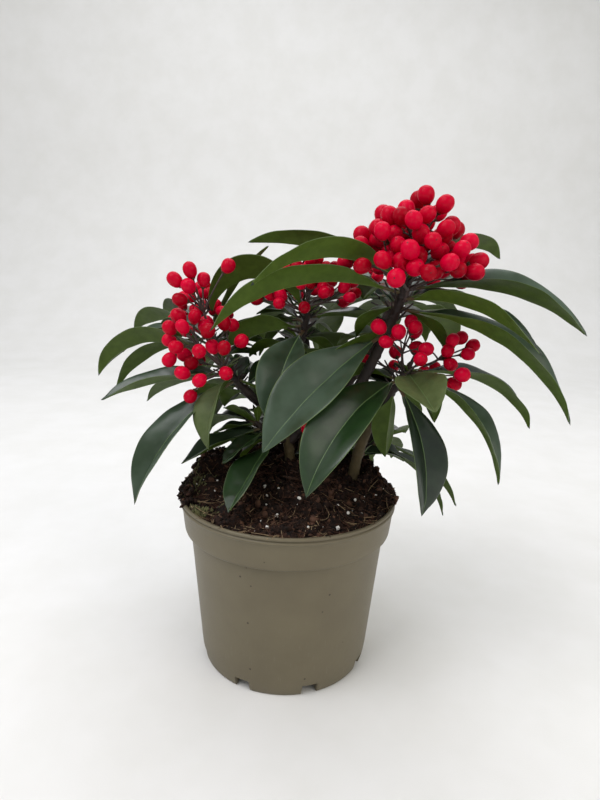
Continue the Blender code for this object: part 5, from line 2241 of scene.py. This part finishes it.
    def perlite(self, draw: np.random.Generator) -> Gathered:
        """Lays grains of perlite: rounded lumps of 0.5 to 3 mm, most of them near the front.

        Args:
            draw: the seeded choice.

        Returns:
            The grains.
        """
        t = np.pi * np.linspace(0.14, 0.86, 5)
        solid = turned_solid(np.sin(t), -np.cos(t), full_turn(8), (-1.0, 1.0))
        places = self.strewn(draw, self.grains, 60.5 * MM, 0.75)
        size = np.clip(draw.lognormal(-0.35, 0.45, self.grains), 0.35, 1.5)[:, None, None] * MM
        spread = solid[None] + 9.0 * np.arange(self.grains)[:, None, None]
        uneven = 1 + 0.35 * lattice_noise(spread, 0.8, 3)[..., None]
        shape = solid[None] * uneven * size * draw.uniform(0.7, 1.1, (self.grains, 1, 3))
        placed = set_on(shape, turned_axes(draw, self.grains), places)
        gathered = Gathered()
        gathered.add_many(placed + np.array([0, 0, 0.3 * MM]), ring_faces(5, 8))
        return gathered

    def tuft(self, draw: np.random.Generator) -> Gathered:
        """Grows cushions of moss: short pointed sprigs that lean outward from their middles.

        Args:
            draw: the seeded choice.

        Returns:
            The sprigs.
        """
        x, y, spread = np.array(self.moss)[draw.integers(len(self.moss), size=self.sprigs)].T
        off = draw.normal(size=(self.sprigs, 2)) * spread[:, None] / 2
        place = off + np.stack([x, y], axis=-1)
        inside = np.hypot(*place.T) < 62.5
        off, place = off[inside], place[inside] * MM
        count = len(off)
        foot = np.stack([place[:, 0], place[:, 1], self.height(place[:, 0], place[:, 1])], axis=-1)
        lean = np.stack([off[:, 0], off[:, 1], np.full(count, 9.0)], axis=-1)
        lean += draw.normal(size=(count, 3)) * 3
        axes = axes_along(normed(lean), draw)
        wide, high = np.array([[0.25, 0.55, 0.3], [0.0, 1.1, 2.0]])
        solid = turned_solid(wide, high, full_turn(5), (-0.4, 2.7)) * MM
        size = draw.uniform(0.6, 1.2, (count, 1, 1))
        gathered = Gathered()
        gathered.add_many(set_on(solid[None] * size, axes, foot), ring_faces(3, 5))
        return gathered


def hull_faces(points: np.ndarray) -> np.ndarray:
    """Gives the faces round a few points that all lie on a ball, as triangles facing outward.

    Args:
        points: the points.

    Returns:
        Three corners and a -1 for each face.
    """
    faces = []
    for trio in itertools.combinations(range(len(points)), 3):
        a, b, c = points[list(trio)]
        normal = np.cross(b - a, c - a)
        if np.linalg.norm(normal) < 1e-9:
            continue
        level = points @ normal - a @ normal
        if (level < 1e-9).all():
            faces.append([*trio, -1])
        elif (level > -1e-9).all():
            faces.append([trio[0], trio[2], trio[1], -1])
    return np.array(faces)


# Studio

@dataclass(frozen=True)
class Studio:
    """A pale sweep, soft lights and the camera at the photograph's own place."""

    floor: str = "#e3e2df"
    pitch: float = 13.6
    roll: float = 1.95
    place: tuple[float, float, float] = (0.0052, -0.345, 0.2458)
    lens: float = 601 / 800 * 36

    def build(self) -> None:
        """Sets up floor, lights and camera."""
        bpy.context.scene.view_settings.view_transform = "Standard"
        self.lay_floor()
        self.light("key", (-0.7, -0.5, 1.3), 1.0, 14.0, "#fbfaff")
        self.light("fill", (0.9, -0.7, 0.7), 1.0, 5.5, "#fff8ee")
        self.light("top", (0.1, 0.6, 1.4), 1.2, 11.0, "#f6f8ff")
        world = bpy.data.worlds.new("studio")
        world.use_nodes = True
        background = world.node_tree.nodes["Background"]
        background.inputs["Color"].default_value = linear("#e9ecee")
        background.inputs["Strength"].default_value = 0.6
        bpy.context.scene.world = world
        self.aim_camera()

    def lay_floor(self) -> None:
        """Lays a floor that sweeps up into a wall: a quarter circle between two flats."""
        bend = np.linspace(0, np.pi / 2, 24)
        y = np.concatenate([[-3.0, 0.5], 0.9 + 0.5 * np.sin(bend), [1.4]])
        z = np.concatenate([[0.0, 0.0], 0.5 - 0.5 * np.cos(bend), [4.0]])
        x = np.linspace(-4.0, 4.0, 9)
        points = np.stack(
            [np.repeat(x[None], len(y), axis=0), np.repeat(y[:, None], 9, axis=1),
             np.repeat(z[:, None], 9, axis=1)],
            axis=-1,
        ).reshape(-1, 3)
        row, step = np.meshgrid(np.arange(len(y) - 1), np.arange(8), indexing="ij")
        a = row * 9 + step
        faces = np.stack([a, a + 1, a + 10, a + 9], axis=-1).reshape(-1, 4)
        mesh = bpy.data.meshes.new("studio_floor")
        mesh.from_pydata(points.tolist(), [], faces.tolist())
        mesh.polygons.foreach_set("use_smooth", np.ones(len(mesh.polygons), bool))
        floor = put("studio_floor", mesh)
        # Painted studio board: pale, matt, with a faint grain
        paint = Finish(
            "painted_board", self.floor, "#dfdeda", 60, (0.85, 0.95), 0.6, 0.05, specular=0.2
        )
        mesh.materials.append(paint.build())

    def light(
        self, name: str, place: tuple[float, float, float], size: float, power: float, colour: str
    ) -> None:
        """Hangs a square soft light that faces the plant.

        Args:
            name: its name.
            place: where it hangs, in metres.
            size: the length of its side.
            power: its power in watts.
            colour: its colour as an sRGB hex value.
        """
        data = bpy.data.lights.new(name, "AREA")
        data.size = size
        data.energy = power
        data.color = linear(colour)[:3]
        lamp = put(name, data)
        lamp.location = place
        aim = Vector((0.0, 0.0, 0.15)) - Vector(place)
        lamp.rotation_euler = aim.to_track_quat("-Z", "Y").to_euler()

    def aim_camera(self) -> None:
        """Sets the camera where the photograph was taken from."""
        pitch, roll = math.radians(self.pitch), math.radians(self.roll)
        ahead = np.array([0, math.cos(pitch), -math.sin(pitch)])
        level = np.array([1.0, 0.0, 0.0])
        upright = np.cross(level, ahead)
        right = math.cos(roll) * level + math.sin(roll) * upright
        above = math.cos(roll) * upright - math.sin(roll) * level
        data = bpy.data.cameras.new("camera")
        data.sensor_fit = "VERTICAL"
        data.sensor_height = 36.0
        data.lens = self.lens
        data.clip_start = 0.01
        camera = put("camera", data)
        columns = np.stack([right, above, -ahead, np.array(self.place)], axis=1)
        camera.matrix_world = Matrix([*columns.tolist(), [0, 0, 0, 1]])
        bpy.context.scene.camera = camera


def main() -> None:
    """Builds the studio, the pot, the peat and the plant."""
    logging.basicConfig(level=logging.INFO, format="%(message)s")
    Studio().build()
    wardrobe = Wardrobe()
    plan = PlantPlan()
    Pot().build(wardrobe)
    PeatBed(plan.ground).build(wardrobe)
    Limbs(plan, wardrobe).build()
    Panicles(plan, wardrobe).build()
    Foliage(plan, wardrobe).build()


if __name__ == "__main__":
    main()
